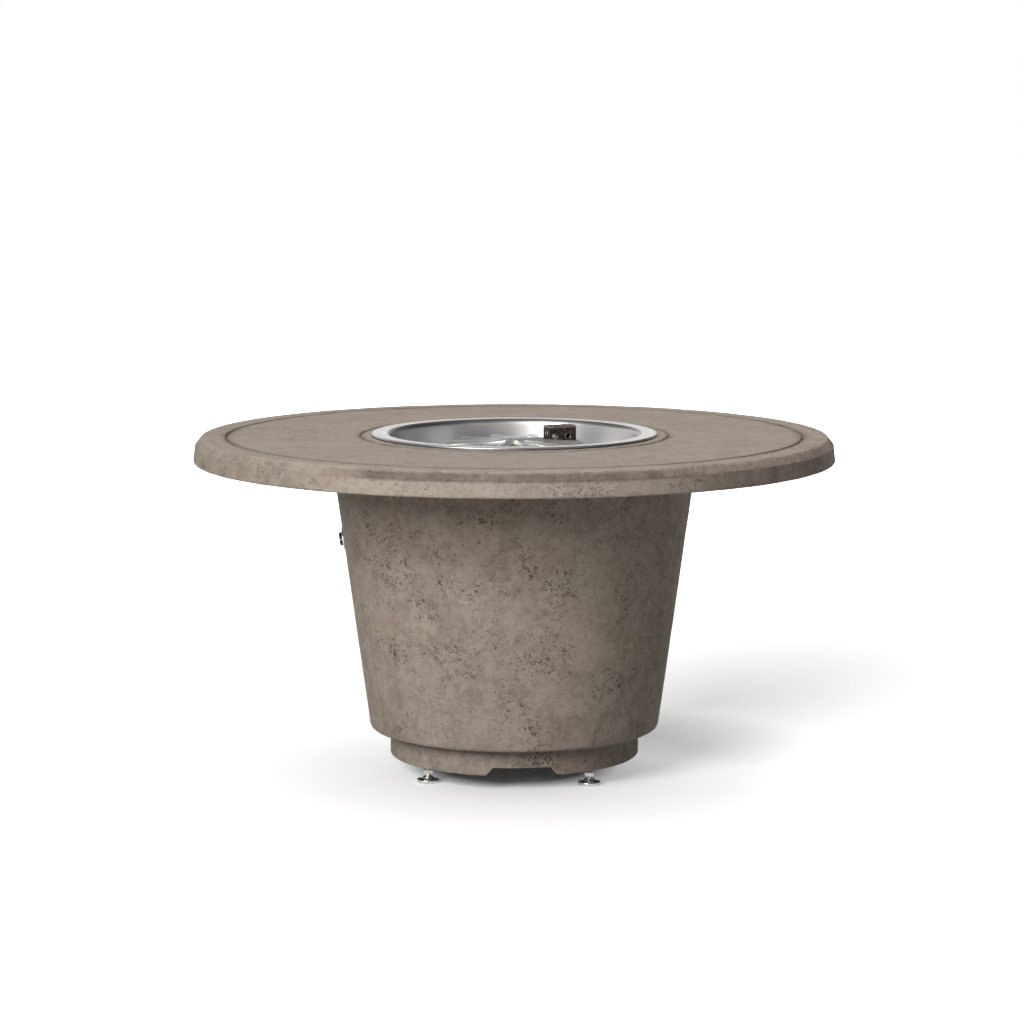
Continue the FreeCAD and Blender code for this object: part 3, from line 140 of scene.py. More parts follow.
def roundedProfile(corners, closed=True, steps=6):
    # outline through (radius, height, rounding) corners, each rounding an arc tangent to both sides;
    # wear is 1 at the middle of an arc and 0 on the straight stretches
    points, worn = [], []
    count = len(corners)
    for index, (x, z, rounding) in enumerate(corners):
        corner = np.array([x, z])
        if rounding == 0 or (not closed and index in (0, count - 1)):
            points.append(corner[None])
            worn.append(np.zeros(1))
            continue
        back = np.array(corners[index - 1][:2]) - corner
        ahead = np.array(corners[(index + 1) % count][:2]) - corner
        back = back / np.linalg.norm(back)
        ahead = ahead / np.linalg.norm(ahead)
        half = acos(np.clip(back @ ahead, -1, 1)) / 2
        centre = corner + (back + ahead) / np.linalg.norm(back + ahead) * rounding / sin(half)
        reach = rounding / tan(half)
        start = corner + back * reach - centre
        end = corner + ahead * reach - centre
        turn = pi - 2 * half
        share = np.linspace(0, 1, steps + 1)[:, None]
        bend = (np.sin((1 - share) * turn) * start + np.sin(share * turn) * end) / sin(turn)
        points.append(centre + bend)
        worn.append(np.sin(pi * share[:, 0]))
    return np.concatenate(points), np.concatenate(worn)


def lengthsAlong(points):
    # distance from the first point to each, along the outline
    return np.concatenate([[0], np.cumsum(np.linalg.norm(np.diff(points, axis=0), axis=1))])


def denser(points, worn, step, closed=True):
    # the same outline, points no further apart than step: one value, or one for the stretch after each
    gaps = np.broadcast_to(step, len(points))
    if closed:
        points = np.concatenate([points, points[:1]])
        worn = np.concatenate([worn, worn[:1]])
    length = lengthsAlong(points)
    pieces = [np.linspace(a, b, max(1, ceil((b - a) / gap)), endpoint=False)
              for a, b, gap in zip(length[:-1], length[1:], gaps)]
    at = np.concatenate(pieces + ([] if closed else [length[-1:]]))
    radius = np.interp(at, length, points[:, 0])
    height = np.interp(at, length, points[:, 1])
    return np.stack([radius, height], -1), np.interp(at, length, worn)


def wholeTurn(segments):
    # angles of one turn, each in its own row
    return np.linspace(0, 2 * pi, segments, endpoint=False)[:, None]


def aroundAxis(radius, angle, height):
    # radius times cosine and sine of the angle, and height
    return np.stack(np.broadcast_arrays(radius * np.cos(angle), radius * np.sin(angle), height), -1)


def turnedGrid(profile, segments):
    # a (radius, height) outline carried round the Z axis
    return aroundAxis(profile[:, 0], wholeTurn(segments), profile[:, 1])


def headings(azimuth):
    # unit vectors along an azimuth, across it and up
    turn = radians(azimuth)
    along = np.array([cos(turn), sin(turn), 0])
    across = np.array([-sin(turn), cos(turn), 0])
    return along, across, np.array([0, 0, 1.0])


def outwardBar(section, azimuth, near, far):
    # an (across, height) section carried out from one reach to another, both ends closed
    along, across, up = headings(azimuth)
    grid = np.stack([along * reach + across * section[:, :1] + up * section[:, 1:]
                     for reach in (near, near, far, far)])
    grid[0] = grid[0].mean(0)
    grid[-1] = grid[-1].mean(0)
    return grid


def roundBar(radius, low, high, segments=48):
    # closed round bar on the Z axis
    return turnedGrid(np.array([[0, low], [radius, low], [radius, high], [0, high]]), segments)


# each kind of unevenness: number of waves, and the fewest and most of them round the table
castWaves = {"swell": (26, 3, 60), "broken": (34, 20, 150), "fine": (30, 120, 420)}
castChips = {"brokenAlong": 1.6, "brokenFrom": 0.62, "fineAlong": 2.5, "fineShare": 0.35}


def unevenness(angle, along, seed, count, lowest, highest):
    # sum of random waves over (angle, distance along the outline), scaled to 0..1; each goes round the
    # table a whole number of times
    dice = np.random.default_rng(seed)
    turns = dice.integers(lowest, highest, count)
    slopes = dice.uniform(-1, 1, count) * highest * 2.2
    phases = dice.uniform(0, 2 * pi, count)
    shares = dice.uniform(0.5, 1, count)
    total = np.zeros(np.broadcast(angle, along).shape)
    for turn, slope, phase, share in zip(turns, slopes, phases, shares):
        total += share * np.sin(turn * angle + slope * along + phase)
    return np.clip(0.5 + total / (2.2 * sqrt(count)), 0, 1)


def castGrid(profile, worn, cast):
    # turned outline with its surface sunk a little by broad unevenness and by chips along the edges
    chips, seed = castChips, cast["seed"]
    angle = wholeTurn(cast["segments"])
    along = lengthsAlong(profile)
    tangent = np.roll(profile, -1, 0) - np.roll(profile, 1, 0)
    tangent = tangent / np.maximum(np.linalg.norm(tangent, axis=1)[:, None], 1e-9)
    normal = np.stack([tangent[:, 1], -tangent[:, 0]], -1)
    ahead = np.roll(profile, -1, 0)
    # twice the section's signed area tells which way round the outline runs
    if (profile[:, 0] * ahead[:, 1] - ahead[:, 0] * profile[:, 1]).sum() < 0:
        normal = -normal
    sunk = cast["swell"] * unevenness(angle, along, seed, *castWaves["swell"])
    broken = unevenness(angle, along * chips["brokenAlong"], seed + 1, *castWaves["broken"])
    broken = np.clip(broken - chips["brokenFrom"], 0, 1) / (1 - chips["brokenFrom"])
    fine = unevenness(angle, along * chips["fineAlong"], seed + 2, *castWaves["fine"])
    sunk = sunk + cast["chip"] * worn * (broken + chips["fineShare"] * fine)
    return aroundAxis(profile[:, 0] - normal[:, 0] * sunk, angle, profile[:, 1] - normal[:, 1] * sunk)


def smoothCopy(node, body, slotName, bevel):
    # a CAD node with its loose triangles merged, so that round faces shade round
    mesh = cadNodes[node].data.copy()
    mesh.name = node + "Smooth"
    mergeDoubles(mesh, False)
    mesh.attributes.new("edgeWearAndHighlight", "FLOAT", "POINT")
    piece = addPiece(mesh, body, slotName, [node], sharpAngle=sharpAngles["copied"])
    if bevel:
        edge = piece.modifiers.new("softEdge", "BEVEL")
        edge.width = bevel
        edge.segments = 2
        edge.limit_method = "ANGLE"
        edge.angle_limit = radians(sharpAngles["softened"])


def carve(piece, cutters, sharpAngle):
    # takes closed shapes out of a piece for good and removes them
    for cutter in cutters:
        cut = piece.modifiers.new("cut", "BOOLEAN")
        cut.operation = "DIFFERENCE"
        cut.solver = "EXACT"
        cut.object = cutter
    bpy.context.view_layer.update()
    carved = bpy.data.meshes.new_from_object(piece.evaluated_get(bpy.context.evaluated_depsgraph_get()))
    carved.set_sharp_from_angle(angle=radians(sharpAngle))
    piece.modifiers.clear()
    piece.data = carved
    for cutter in cutters:
        bpy.data.objects.remove(cutter)


def cutterFrom(name, parts):
    return newObject(name, newMesh(name, parts))


# The pedestal's slanted wall, from the frame

pedestalWall = {
    "top": 0.3472, "foot": 0.276, "topHeight": 0.598, "footHeight": 0.0834,
    "thickness": 0.02, "footRound": 0.0085, "plinth": 0.2383, "plinthRound": 0.0035,
    "low": 0.0307, "shelf": 0.1034, "flangeInner": 0.2852, "flangeUnder": 0.578, "haunch": 0.012,
}
wallRise = pedestalWall["topHeight"] - pedestalWall["footHeight"]
wallTaper = (pedestalWall["top"] - pedestalWall["foot"]) / wallRise
wallLean = atan(wallTaper)
# azimuth and height of each control
knobPlace = (181, 0.445)
igniterPlace = (166.5, 0.445)


def wallRadius(height, depth=0):
    # the face's radius at a height, less the depth measured square to the face
    face = pedestalWall["foot"] + wallTaper * (height - pedestalWall["footHeight"])
    return face - depth / cos(wallLean)


def onWall(grid, azimuth, height):
    # local x level, y up the wall and z out of it, placed at an azimuth and height
    out, level, up = headings(azimuth)
    normal = out * cos(wallLean) - up * sin(wallLean)
    slope = out * sin(wallLean) + up * cos(wallLean)
    place = out * wallRadius(height) + up * height
    return grid @ np.stack([level, slope, normal]) + place


def wallBand(depths, heights, azimuths, steps, flare=0, flareDepth=0.0015):
    # closed block of the wall between two depths, heights and azimuths; flare opens its outer edge
    inner, outer = depths
    rings = [(inner, 0), (outer, 0)]
    if flare:
        rings = [(inner, 0), (flareDepth, 0), (0, flare), (outer, flare)]
    low, high = heights
    start, end = (radians(value) for value in azimuths)
    grids = []
    for depth, spread in rings:
        height = np.linspace(low - spread, high + spread, steps[1])[:, None]
        turn = spread / wallRadius(low)
        angle = np.linspace(start - turn, end + turn, steps[0])[None]
        grids.append(aroundAxis(wallRadius(height, depth), angle, height))
    borders = [np.concatenate([grid[0], grid[1:, -1], grid[-1, -2::-1], grid[-2:0:-1, 0]]) for grid in grids]
    return [(grids[0], False, False, 0), (grids[-1], False, False, 0),
            (np.stack(borders), False, True, 0)]


# Node materials

def connect(tree, node, inputs):
    # links the inputs that come from other nodes and sets the rest
    for name, value in inputs.items():
        if isinstance(value, bpy.types.NodeSocket):
            tree.links.new(value, node.inputs[name])
        else:
            node.inputs[name].default_value = value


def shade(tree, kind, inputs, **settings):
    node = tree.nodes.new("ShaderNode" + kind)
    for name, value in settings.items():
        setattr(node, name, value)
    connect(tree, node, inputs)
    return node


def newMaterial(name, colour):
    material = bpy.data.materials.new(name)
    material.use_nodes = True
    material.diffuse_color = (*colour, 1)
    tree = material.node_tree
    return material, tree, shade(tree, "TexCoord", {}).outputs["Object"]


def calculate(tree, operation, first, second=0):
    return shade(tree, "Math", {0: first, 1: second}, operation=operation).outputs[0]


def multiply(tree, first, second):
    return calculate(tree, "MULTIPLY", first, second)


def stretch(tree, value, fromLow, fromHigh, toLow=0, toHigh=1):
    span = {"Value": value, "From Min": fromLow, "From Max": fromHigh, "To Min": toLow, "To Max": toHigh}
    return shade(tree, "MapRange", span).outputs["Result"]


def blend(tree, share, first, second):
    # inputs 6 and 7 are the two colours, and a plain one takes a fourth channel, opaque
    first, second = (value if isinstance(value, bpy.types.NodeSocket) else (*value, 1)
                     for value in (first, second))
    return shade(tree, "Mix", {0: share, 6: first, 7: second}, data_type="RGBA").outputs[2]


def noise(tree, place, scale, detail=3, roughness=0.55, distortion=0):
    pattern = {"Vector": place, "Scale": scale, "Detail": detail, "Roughness": roughness,
               "Distortion": distortion}
    return shade(tree, "TexNoise", pattern).outputs["Fac"]


def scaled(tree, place, size):
    return shade(tree, "Mapping", {"Vector": place, "Scale": size}).outputs["Vector"]


def vectorMath(tree, operation, inputs):
    return shade(tree, "VectorMath", inputs, operation=operation).outputs


def axes(tree, place):
    return shade(tree, "SeparateXYZ", {0: place}).outputs


def vectorFrom(tree, *values):
    return shade(tree, "CombineXYZ", dict(enumerate(values))).outputs[0]


def attribute(tree, name):
    return shade(tree, "Attribute", {}, attribute_name=name).outputs["Fac"]


def finishSurface(material, colour, roughness, relief, strength, distance, **others):
    # gives the shader its colour, its roughness, a bump of the relief and any other inputs
    tree = material.node_tree
    bump = shade(tree, "Bump", {"Height": relief, "Strength": strength, "Distance": distance})
    connect(tree, tree.nodes["Principled BSDF"], {
        "Base Color": colour, "Roughness": roughness, "Normal": bump.outputs["Normal"], **others})
    return material


# the last tone paints shade on the tabletop's grooves, chamfer and rim; the worn tone is also its front
# rim's painted highlight
concreteTones = {
    "pale": (0.362, 0.304, 0.249), "middle": (0.308, 0.255, 0.206), "dark": (0.187, 0.149, 0.118),
    "pitDark": (0.05, 0.037, 0.028), "warm": (0.31, 0.24, 0.18), "worn": (0.42, 0.366, 0.31),
    "polished": (0.35, 0.301, 0.254), "grime": (0.125, 0.101, 0.082),
}
# scale, detail, roughness and distortion of each noise
concreteNoise = {
    "broad": (4.5, 5, 0.6, 0.4), "patches": (19, 8, 0.66, 0.6), "mottle": (78, 6, 0.7, 0.7),
    "grain": (700, 3, 0.7), "streaks": (42, 4, 0.6), "warmth": (11, 4),
    "clusters": (12, 5, 0.62), "scattered": (33, 4, 0.6), "furrows": (90, 5, 0.72, 0.9),
    "furrowed": (20, 4, 0.65),
}
concreteDrawn = {"patches": (1, 1, 0.8), "streaks": (1, 1, 0.12), "furrows": (1, 1, 1.4)}
# tones laid over each other in turn: the noise, its values where the tone starts and is full, share, tone
concreteLayers = [
    ("broad", 0.36, 0.66, 1, "pale"), ("patches", 0.46, 0.68, 0.8, "dark"),
    ("streaks", 0.54, 0.74, 0.14, "dark"), ("warmth", 0.5, 0.68, 0.65, "warm"),
    ("mottle", 0.49, 0.64, 0.5, "dark"), ("mottle", 0.46, 0.3, 0.4, "worn"),
    ("grain", 0.38, 0.72, 0.22, "worn"),
]
# scale, size and raggedness of the pits
concretePits = {"small": (205, 0.59, 3), "larger": (96, 0.59, 3.4), "lone": (62, 0.14, 1.3)}
concreteRelief = {"grain": 0.08, "mottle": 0.4, "patches": 0.45}
concreteTop = {"fade": 0.0012, "pits": (0.72, 0.4), "polish": 0.55}


def pitLayer(tree, place, presence, scale, size, ragged):
    # round and ragged holes: cells of one scale, kept where the presence noise is high
    jitter = shade(tree, "TexNoise", {"Vector": place, "Scale": scale * 1.1, "Detail": 3.0}).outputs["Color"]
    shift = vectorMath(tree, "SUBTRACT", {0: jitter, 1: (0.5, 0.5, 0.5)})[0]
    shift = vectorMath(tree, "SCALE", {0: shift, "Scale": ragged / scale})[0]
    moved = vectorMath(tree, "ADD", {0: place, 1: shift})[0]
    cells = shade(tree, "TexVoronoi", {"Vector": moved, "Scale": scale, "Randomness": 1.0})
    pick = shade(tree, "SeparateColor", {0: cells.outputs["Color"]}).outputs[0]
    limit = multiply(tree, multiply(tree, pick, presence), size)
    depth = calculate(tree, "SUBTRACT", limit, cells.outputs["Distance"])
    return stretch(tree, depth, 0, 0.16)


def castConcrete(name, smoothAbove=None):
    # mottled cast concrete with clustered pits and furrows; above a height it is rubbed smoother
    material, tree, place = newMaterial(name, concreteTones["middle"])
    tones = concreteTones
    layers = {}
    for title, pattern in concreteNoise.items():
        drawn = scaled(tree, place, concreteDrawn[title]) if title in concreteDrawn else place
        layers[title] = noise(tree, drawn, *pattern)
    tone = tones["middle"]
    for title, start, full, share, over in concreteLayers:
        tone = blend(tree, stretch(tree, layers[title], start, full, 0, share), tone, tones[over])
    clusters = stretch(tree, layers["clusters"], 0.38, 0.63)
    scattered = stretch(tree, layers["scattered"], 0.36, 0.6)
    presence = {"small": clusters, "larger": multiply(tree, clusters, scattered), "lone": scattered}
    furrows = multiply(tree, stretch(tree, layers["furrows"], 0.56, 0.66),
                       stretch(tree, layers["furrowed"], 0.46, 0.64))
    pits = multiply(tree, furrows, 0.8)
    for title, shape in concretePits.items():
        pits = calculate(tree, "MAXIMUM", pits, pitLayer(tree, place, presence[title], *shape))
    if smoothAbove is not None:
        height = axes(tree, place)["Z"]
        edge = (smoothAbove - concreteTop["fade"], smoothAbove)
        pits = multiply(tree, pits, stretch(tree, height, *edge, *concreteTop["pits"]))
        tone = blend(tree, stretch(tree, height, *edge, 0, concreteTop["polish"]), tone, tones["polished"])
    # pale tone for edge wear, and on the tabletop's front rim a painted highlight
    worn = multiply(tree, attribute(tree, "edgeWearAndHighlight"), stretch(tree, layers["mottle"], 0.4, 0.65, 0.7, 0.3))
    tone = blend(tree, worn, tone, tones["worn"])
    # painted shade from the point attribute, broken up by the patches noise
    grime = multiply(tree, attribute(tree, "grime"), stretch(tree, layers["patches"], 0.3, 0.62, 0.45, 1))
    tone = blend(tree, grime, tone, tones["grime"])
    tone = blend(tree, multiply(tree, pits, 0.8), tone, tones["pitDark"])
    relief = 0.0
    for title, share in concreteRelief.items():
        relief = calculate(tree, "ADD", relief, multiply(tree, layers[title], share))
    relief = calculate(tree, "SUBTRACT", relief, pits)
    rough = stretch(tree, layers["mottle"], 0.3, 0.7, 0.66, 0.86)
    return finishSurface(material, tone, rough, relief, 0.7, 0.002, **{"Specular IOR Level": 0.35})


steelStain = (0.27, 0.19, 0.12)


def spunSteel(name, tone, roughness, along=(1, 1, 1), streak=260, stain=0, metallic=1):
    # satin metal with fine streaks; along squeezes the noise to draw them out
    material, tree, place = newMaterial(name, tone)
    streaks = noise(tree, scaled(tree, place, along), streak, 4, 0.7)
    cloud = noise(tree, place, 18, 4, 0.6)
    dull = tuple(channel * 0.72 for channel in tone)
    colour = blend(tree, stretch(tree, cloud, 0.4, 0.72, 0, 0.35), tone, dull)
    if stain:
        stained = stretch(tree, noise(tree, place, 55, 5), 0.46, 0.7, 0, stain)
        colour = blend(tree, stained, colour, steelStain)
    rough = stretch(tree, streaks, 0.3, 0.7, roughness * 0.8, roughness * 1.3)
    return finishSurface(material, colour, rough, streaks, 0.12, 0.0002, Metallic=metallic)


# streaks a metre across and along the rings, the reach in x and z of a painted dark reflection on the bowl's
# left wall, the flat flange's heights, and the tone of the painted shadow on the flange's lip
panFinish = {
    "ringScale": 900, "turnScale": 6, "heatX": (-0.07, -0.115), "heatZ": (0.647, 0.6435),
    "darkReflectionShare": 0.6, "darkReflectionTone": (0.4, 0.39, 0.41), "lipShadowTone": (0.1, 0.095, 0.09),
    "flangeZ": (0.6475, 0.6488), "flangeShare": 0.55, "anisotropy": 0.4, "anisotropyTurn": 0.25,
}


def ringSteel(name, tone, roughness, dark):
    # spun sheet: streaks run round the Z axis, so the noise reads radius and height closely, angle loosely
    finish = panFinish
    material, tree, place = newMaterial(name, tone)
    parts = axes(tree, place)
    squares = calculate(tree, "ADD", multiply(tree, parts["X"], parts["X"]),
                        multiply(tree, parts["Y"], parts["Y"]))
    radius = calculate(tree, "SQRT", squares)
    ring = vectorFrom(tree, multiply(tree, radius, finish["ringScale"]),
                      multiply(tree, parts["Z"], finish["ringScale"]),
                      multiply(tree, parts["X"], finish["turnScale"]))
    lines = shade(tree, "TexNoise", {"Vector": ring, "Scale": 1, "Detail": 3.0}).outputs["Fac"]
    cloud = noise(tree, place, 14, 5, 0.6)
    colour = blend(tree, stretch(tree, cloud, 0.35, 0.7, 0, 0.45), tone, dark)
    # a painted dark reflection on the bowl's left side, below the flange
    darkReflection = multiply(tree, stretch(tree, parts["X"], *finish["heatX"], 0, finish["darkReflectionShare"]),
                      stretch(tree, parts["Z"], *finish["heatZ"]))
    colour = blend(tree, darkReflection, colour, finish["darkReflectionTone"])
    # painted shadow on the flange's lip, from the point attribute
    colour = blend(tree, attribute(tree, "grime"), colour, finish["lipShadowTone"])
    flat = stretch(tree, parts["Z"], *finish["flangeZ"], 1, finish["flangeShare"])
    rough = multiply(tree, stretch(tree, lines, 0.3, 0.7, roughness * 0.85, roughness * 1.2), flat)
    around = vectorFrom(tree, multiply(tree, parts["Y"], -1), parts["X"])
    tangent = vectorMath(tree, "NORMALIZE", {0: around})[0]
    return finishSurface(material, colour, rough, lines, 0.1, 0.00015, Tangent=tangent, Metallic=1,
                         Anisotropic=finish["anisotropy"],
                         **{"Anisotropic Rotation": finish["anisotropyTurn"]})


scorchedTones = {
    "plain": (0.05, 0.04, 0.034), "black": (0.03, 0.025, 0.022), "rust": (0.07, 0.046, 0.033),
    "flecks": (0.25, 0.215, 0.19), "crust": (0.44, 0.38, 0.33),
}
crustHeights = (0.653, 0.6575)


def scorched(name):
    # heat-blackened sheet with rust, pale flecks, and a crust of scale along its upper edge
    tones = scorchedTones
    material, tree, place = newMaterial(name, tones["plain"])
    scale = noise(tree, place, 160, 6, 0.7)
    rust = noise(tree, place, 60, 5, 0.65)
    colour = blend(tree, stretch(tree, rust, 0.42, 0.66), tones["black"], tones["rust"])
    colour = blend(tree, stretch(tree, scale, 0.54, 0.68, 0, 0.9), colour, tones["flecks"])
    crust = multiply(tree, stretch(tree, axes(tree, place)["Z"], *crustHeights),
                     stretch(tree, scale, 0.4, 0.58, 0.35, 1))
    colour = blend(tree, crust, colour, tones["crust"])
    rough = stretch(tree, scale, 0.3, 0.7, 0.5, 0.8)
    return finishSurface(material, colour, rough, scale, 0.5, 0.0006, Metallic=0.55)


def moulded(name, tone, roughness, coat=0):
    # plastic or glaze with a fine texture and a little pale dust
    material, tree, place = newMaterial(name, tone)
    fine = noise(tree, place, 1400, 2)
    dust = stretch(tree, noise(tree, place, 80, 4), 0.5, 0.75, 0, 0.5)
    lighter = tuple(min(1, channel * 1.25 + 0.012) for channel in tone)
    colour = blend(tree, dust, tone, lighter)
    rough = stretch(tree, fine, 0.3, 0.7, roughness * 0.85, roughness * 1.15)
    return finishSurface(material, colour, rough, fine, 0.15, 0.0001, **{"Coat Weight": coat})


def camelName(text):
    first, *rest = text.split("_")
    return first + "".join(word.title() for word in rest)


finishes = {
    "cast_concrete": castConcrete("castConcrete"),
    "tabletopConcrete": castConcrete("tabletopConcrete", smoothAbove=0.6438),
    "stainless_pan": ringSteel("spunPan", (0.8, 0.79, 0.78), 0.4, (0.6, 0.59, 0.59)),
    "scorched_steel": scorched("scorchedSteel"),
}
# tone and roughness, then the streaks' squeeze, their scale, the stain and the metallic share
steels = {
    "burner_steel": ((0.88, 0.86, 0.83), 0.3, (1, 1, 0.2), 180, 0.2, 0.8),
    "zinc_steel": ((0.7, 0.71, 0.72), 0.32, (1, 1, 0.3), 500),
    "brass_fitting": ((0.72, 0.52, 0.24), 0.28, (1, 1, 0.2), 600),
    "cast_mixer": ((0.24, 0.24, 0.24), 0.55, (1, 1, 1), 300),
    "bright_steel": ((0.86, 0.86, 0.85), 0.18, (1, 1, 4), 500),
    "spring_steel": ((0.55, 0.55, 0.56), 0.3),
    "cup_metal": ((0.84, 0.83, 0.81), 0.24, (1, 1, 1), 700),
    "corrugated_steel": ((0.66, 0.66, 0.64), 0.3),
    "aluminium_tube": ((0.78, 0.78, 0.78), 0.3),
    "copper_lead": ((0.7, 0.36, 0.22), 0.32),
    "galvanised_tray": ((0.46, 0.47, 0.48), 0.42, (1, 1, 1), 60),
    "stainless_fittings": ((0.72, 0.71, 0.69), 0.26, (1, 1, 0.1), 500),
    "burnishedRim": ((0.62, 0.57, 0.52), 0.24, (1, 1, 1), 400, 0.3),
}
# tone, roughness and the coat of glaze
mouldings = {
    "knob_plastic": ((0.012, 0.012, 0.013), 0.38),
    "igniter_plastic": ((0.03, 0.03, 0.031), 0.45),
    "button_plastic": ((0.016, 0.016, 0.017), 0.18, 0.4),
    "glazed_insulator": ((0.82, 0.8, 0.75), 0.12, 0.5),
    "lead_sleeve": ((0.45, 0.05, 0.03), 0.5),
    "magnet_housing": ((0.75, 0.74, 0.7), 0.45),
    "pointerPaint": ((0.8, 0.8, 0.78), 0.45),
}
for make, looks in ((spunSteel, steels), (moulded, mouldings)):
    for title, look in looks.items():
        finishes[title] = make(camelName(title), *look)
print("materials:", len(finishes))


# Tabletop: one cast disc, turned from its section, with its ribs underneath

tabletopCast = {
    "radius": 0.6096, "top": 0.644, "under": 0.598, "skinUnder": 0.624, "chamferAcross": 0.0114,
    "chamferDown": 0.0146, "flare": 0.0036, "opening": 0.25, "rimInner": 0.5876, "rimDraft": 0.004,
    "collar": 0.35, "innerGroove": (0.293, 0.004, 0.003), "outerGroove": (0.5465, 0.005, 0.0035),
    "ribs": 8, "ribWidth": 0.016, "ribSunk": 0.004, "segments": 660, "seed": 11, "swell": 0.0005,
    "chip": 0.0011, "hiddenGap": 0.03, "faceGap": 0.012, "rimGap": 0.006,
}
# painted light on the tabletop: a positive value is a painted highlight and a negative one painted shade;
# the chamfer's painted shade and the rim's painted highlight fade away from the front
tabletopPaintedLight = {
    "groove": -0.6, "chamfer": -0.9, "rim": 1.05, "rimBase": -0.3, "front": (0.8, 0.92), "least": 0.12,
}


def grooveCorners(radius, width, depth, top):
    # a groove's four corners, its sides leaning outwards and its edges eased
    half = width / 2
    return [(radius - half - 0.0004, top, 0.0005), (radius - half + 0.0008, top - depth, 0.0007),
            (radius + half - 0.0008, top - depth, 0.0007), (radius + half + 0.0004, top, 0.0005)]


def tabletopSection():
    # the disc's closed outline and its wear
    cast = tabletopCast
    top = cast["top"]
    foot = cast["radius"] - cast["flare"]
    corners = [(cast["opening"], cast["under"], 0.001), (cast["opening"], top, 0.002)]
    corners += grooveCorners(*cast["innerGroove"], top)
    corners += grooveCorners(*cast["outerGroove"], top)
    corners += [
        (foot - cast["chamferAcross"], top, 0.0018), (foot, top - cast["chamferDown"], 0.0012),
        (cast["radius"], cast["under"], 0.0035), (cast["rimInner"], cast["under"], 0.003),
        (cast["rimInner"] - cast["rimDraft"], cast["skinUnder"], 0.003),
        (cast["collar"] + cast["rimDraft"], cast["skinUnder"], 0.003),
        (cast["collar"], cast["under"], 0.003),
    ]
    profile, worn = roundedProfile(corners, steps=5)
    # points lie closest on the chamfer and rim, and widest on the hidden underside
    radius, height = profile[:, 0], profile[:, 1]
    hidden = (height < cast["skinUnder"] + 0.004) & (radius < cast["rimInner"] + 0.004)
    gaps = np.where(hidden, cast["hiddenGap"], np.where(radius > 0.59, cast["rimGap"], cast["faceGap"]))
    return denser(profile, worn, gaps)


def wearAndPaintedLightPerPoint(profile, worn):
    # wear of each point round the disc: painted shade in the grooves and on the chamfer, a painted highlight
    # on the rim's front and painted shade round the rest of the rim; edge wear elsewhere
    cast, wear = tabletopCast, tabletopPaintedLight
    foot = cast["radius"] - cast["flare"]
    radius, height = profile[:, 0], profile[:, 1]
    inGroove = np.zeros(len(profile), bool)
    # painted shade in both grooves and on their lips
    for middle, width in (cast["innerGroove"][:2], cast["outerGroove"][:2]):
        inGroove |= (abs(radius - middle) < width / 2 + 0.0012) & (height > cast["top"] - 0.006)
    # painted shade on the chamfer, deepest at the front
    onChamfer = ((radius > foot - cast["chamferAcross"] + 0.002)
                 & (height > cast["top"] - cast["chamferDown"] - 0.001))
    # the rim: a painted highlight near the front and painted shade round the rest
    onRim = (radius > foot - 0.0005) & ~onChamfer
    start, full = wear["front"]
    facing = np.clip((-np.sin(wholeTurn(cast["segments"])) - start) / (full - start), wear["least"], 1)
    edges = np.where(onRim, wear["rim"] * facing + wear["rimBase"], worn)
    return np.where(inGroove, wear["groove"], np.where(onChamfer, wear["chamfer"] * facing, edges))


def makeTabletop():
    cast = tabletopCast
    profile, worn = tabletopSection()
    disc = castGrid(profile, worn, cast)
    parts = [(disc, True, True, wearAndPaintedLightPerPoint(profile, worn))]
    half = cast["ribWidth"] / 2
    low, high = cast["under"] + 0.003, cast["skinUnder"] + 0.001
    section = np.array([[-half + 0.002, low], [half - 0.002, low], [half, high], [-half, high]])
    ends = (cast["collar"] - cast["ribSunk"], cast["rimInner"] + cast["ribSunk"])
    for step in range(cast["ribs"]):
        parts.append((outwardBar(section, 360 * step / cast["ribs"], *ends), False, True, 0))
    addPiece(newMesh("tabletopCast", parts), "table", "cast_concrete", ["tabletop"], "tabletopConcrete")


makeTabletop()
print("tabletop")


# Pedestal: the turned drum, cut for the door, the vents, the knob's cup and the igniter

pedestalCuts = {
    "door": (55, 125), "doorHeights": (0.124, 0.54), "gap": 0.004, "rebate": 0.013, "ledge": 0.01,
    "bandSteps": (60, 40), "flare": 0.0012, "vents": 2, "ventAzimuth": 273.4, "ventBottom": 0.135,
    "ventTop": 0.108, "ventHeight": 0.0166, "ventOver": 0.002, "ventReach": (0.12, 0.26),
    "holes": ((knobPlace, 0.0184), (igniterPlace, 0.0116)), "holeReach": (-0.05, 0.02),
}
pedestalCasting = {
    "segments": 600, "seed": 23, "swell": 0.0004, "chip": 0.0009, "hiddenGap": 0.03, "faceGap": 0.009,
}


def ventWedge(azimuth):
    # trapezoid bar through the plinth's wall, a little lower and wider than the notch it leaves
    cuts = pedestalCuts
    over = cuts["ventOver"]
    low = pedestalWall["low"] - over
    high = pedestalWall["low"] + cuts["ventHeight"]
    half = cuts["ventBottom"] / 2 + over * (cuts["ventBottom"] - cuts["ventTop"]) / 2 / cuts["ventHeight"]
    narrow = cuts["ventTop"] / 2
    section = np.array([[-half, low], [half, low], [narrow, high], [-narrow, high]])
    return cutterFrom("ventCutter", [(outwardBar(section, azimuth, *cuts["ventReach"]), False, True, 0)])


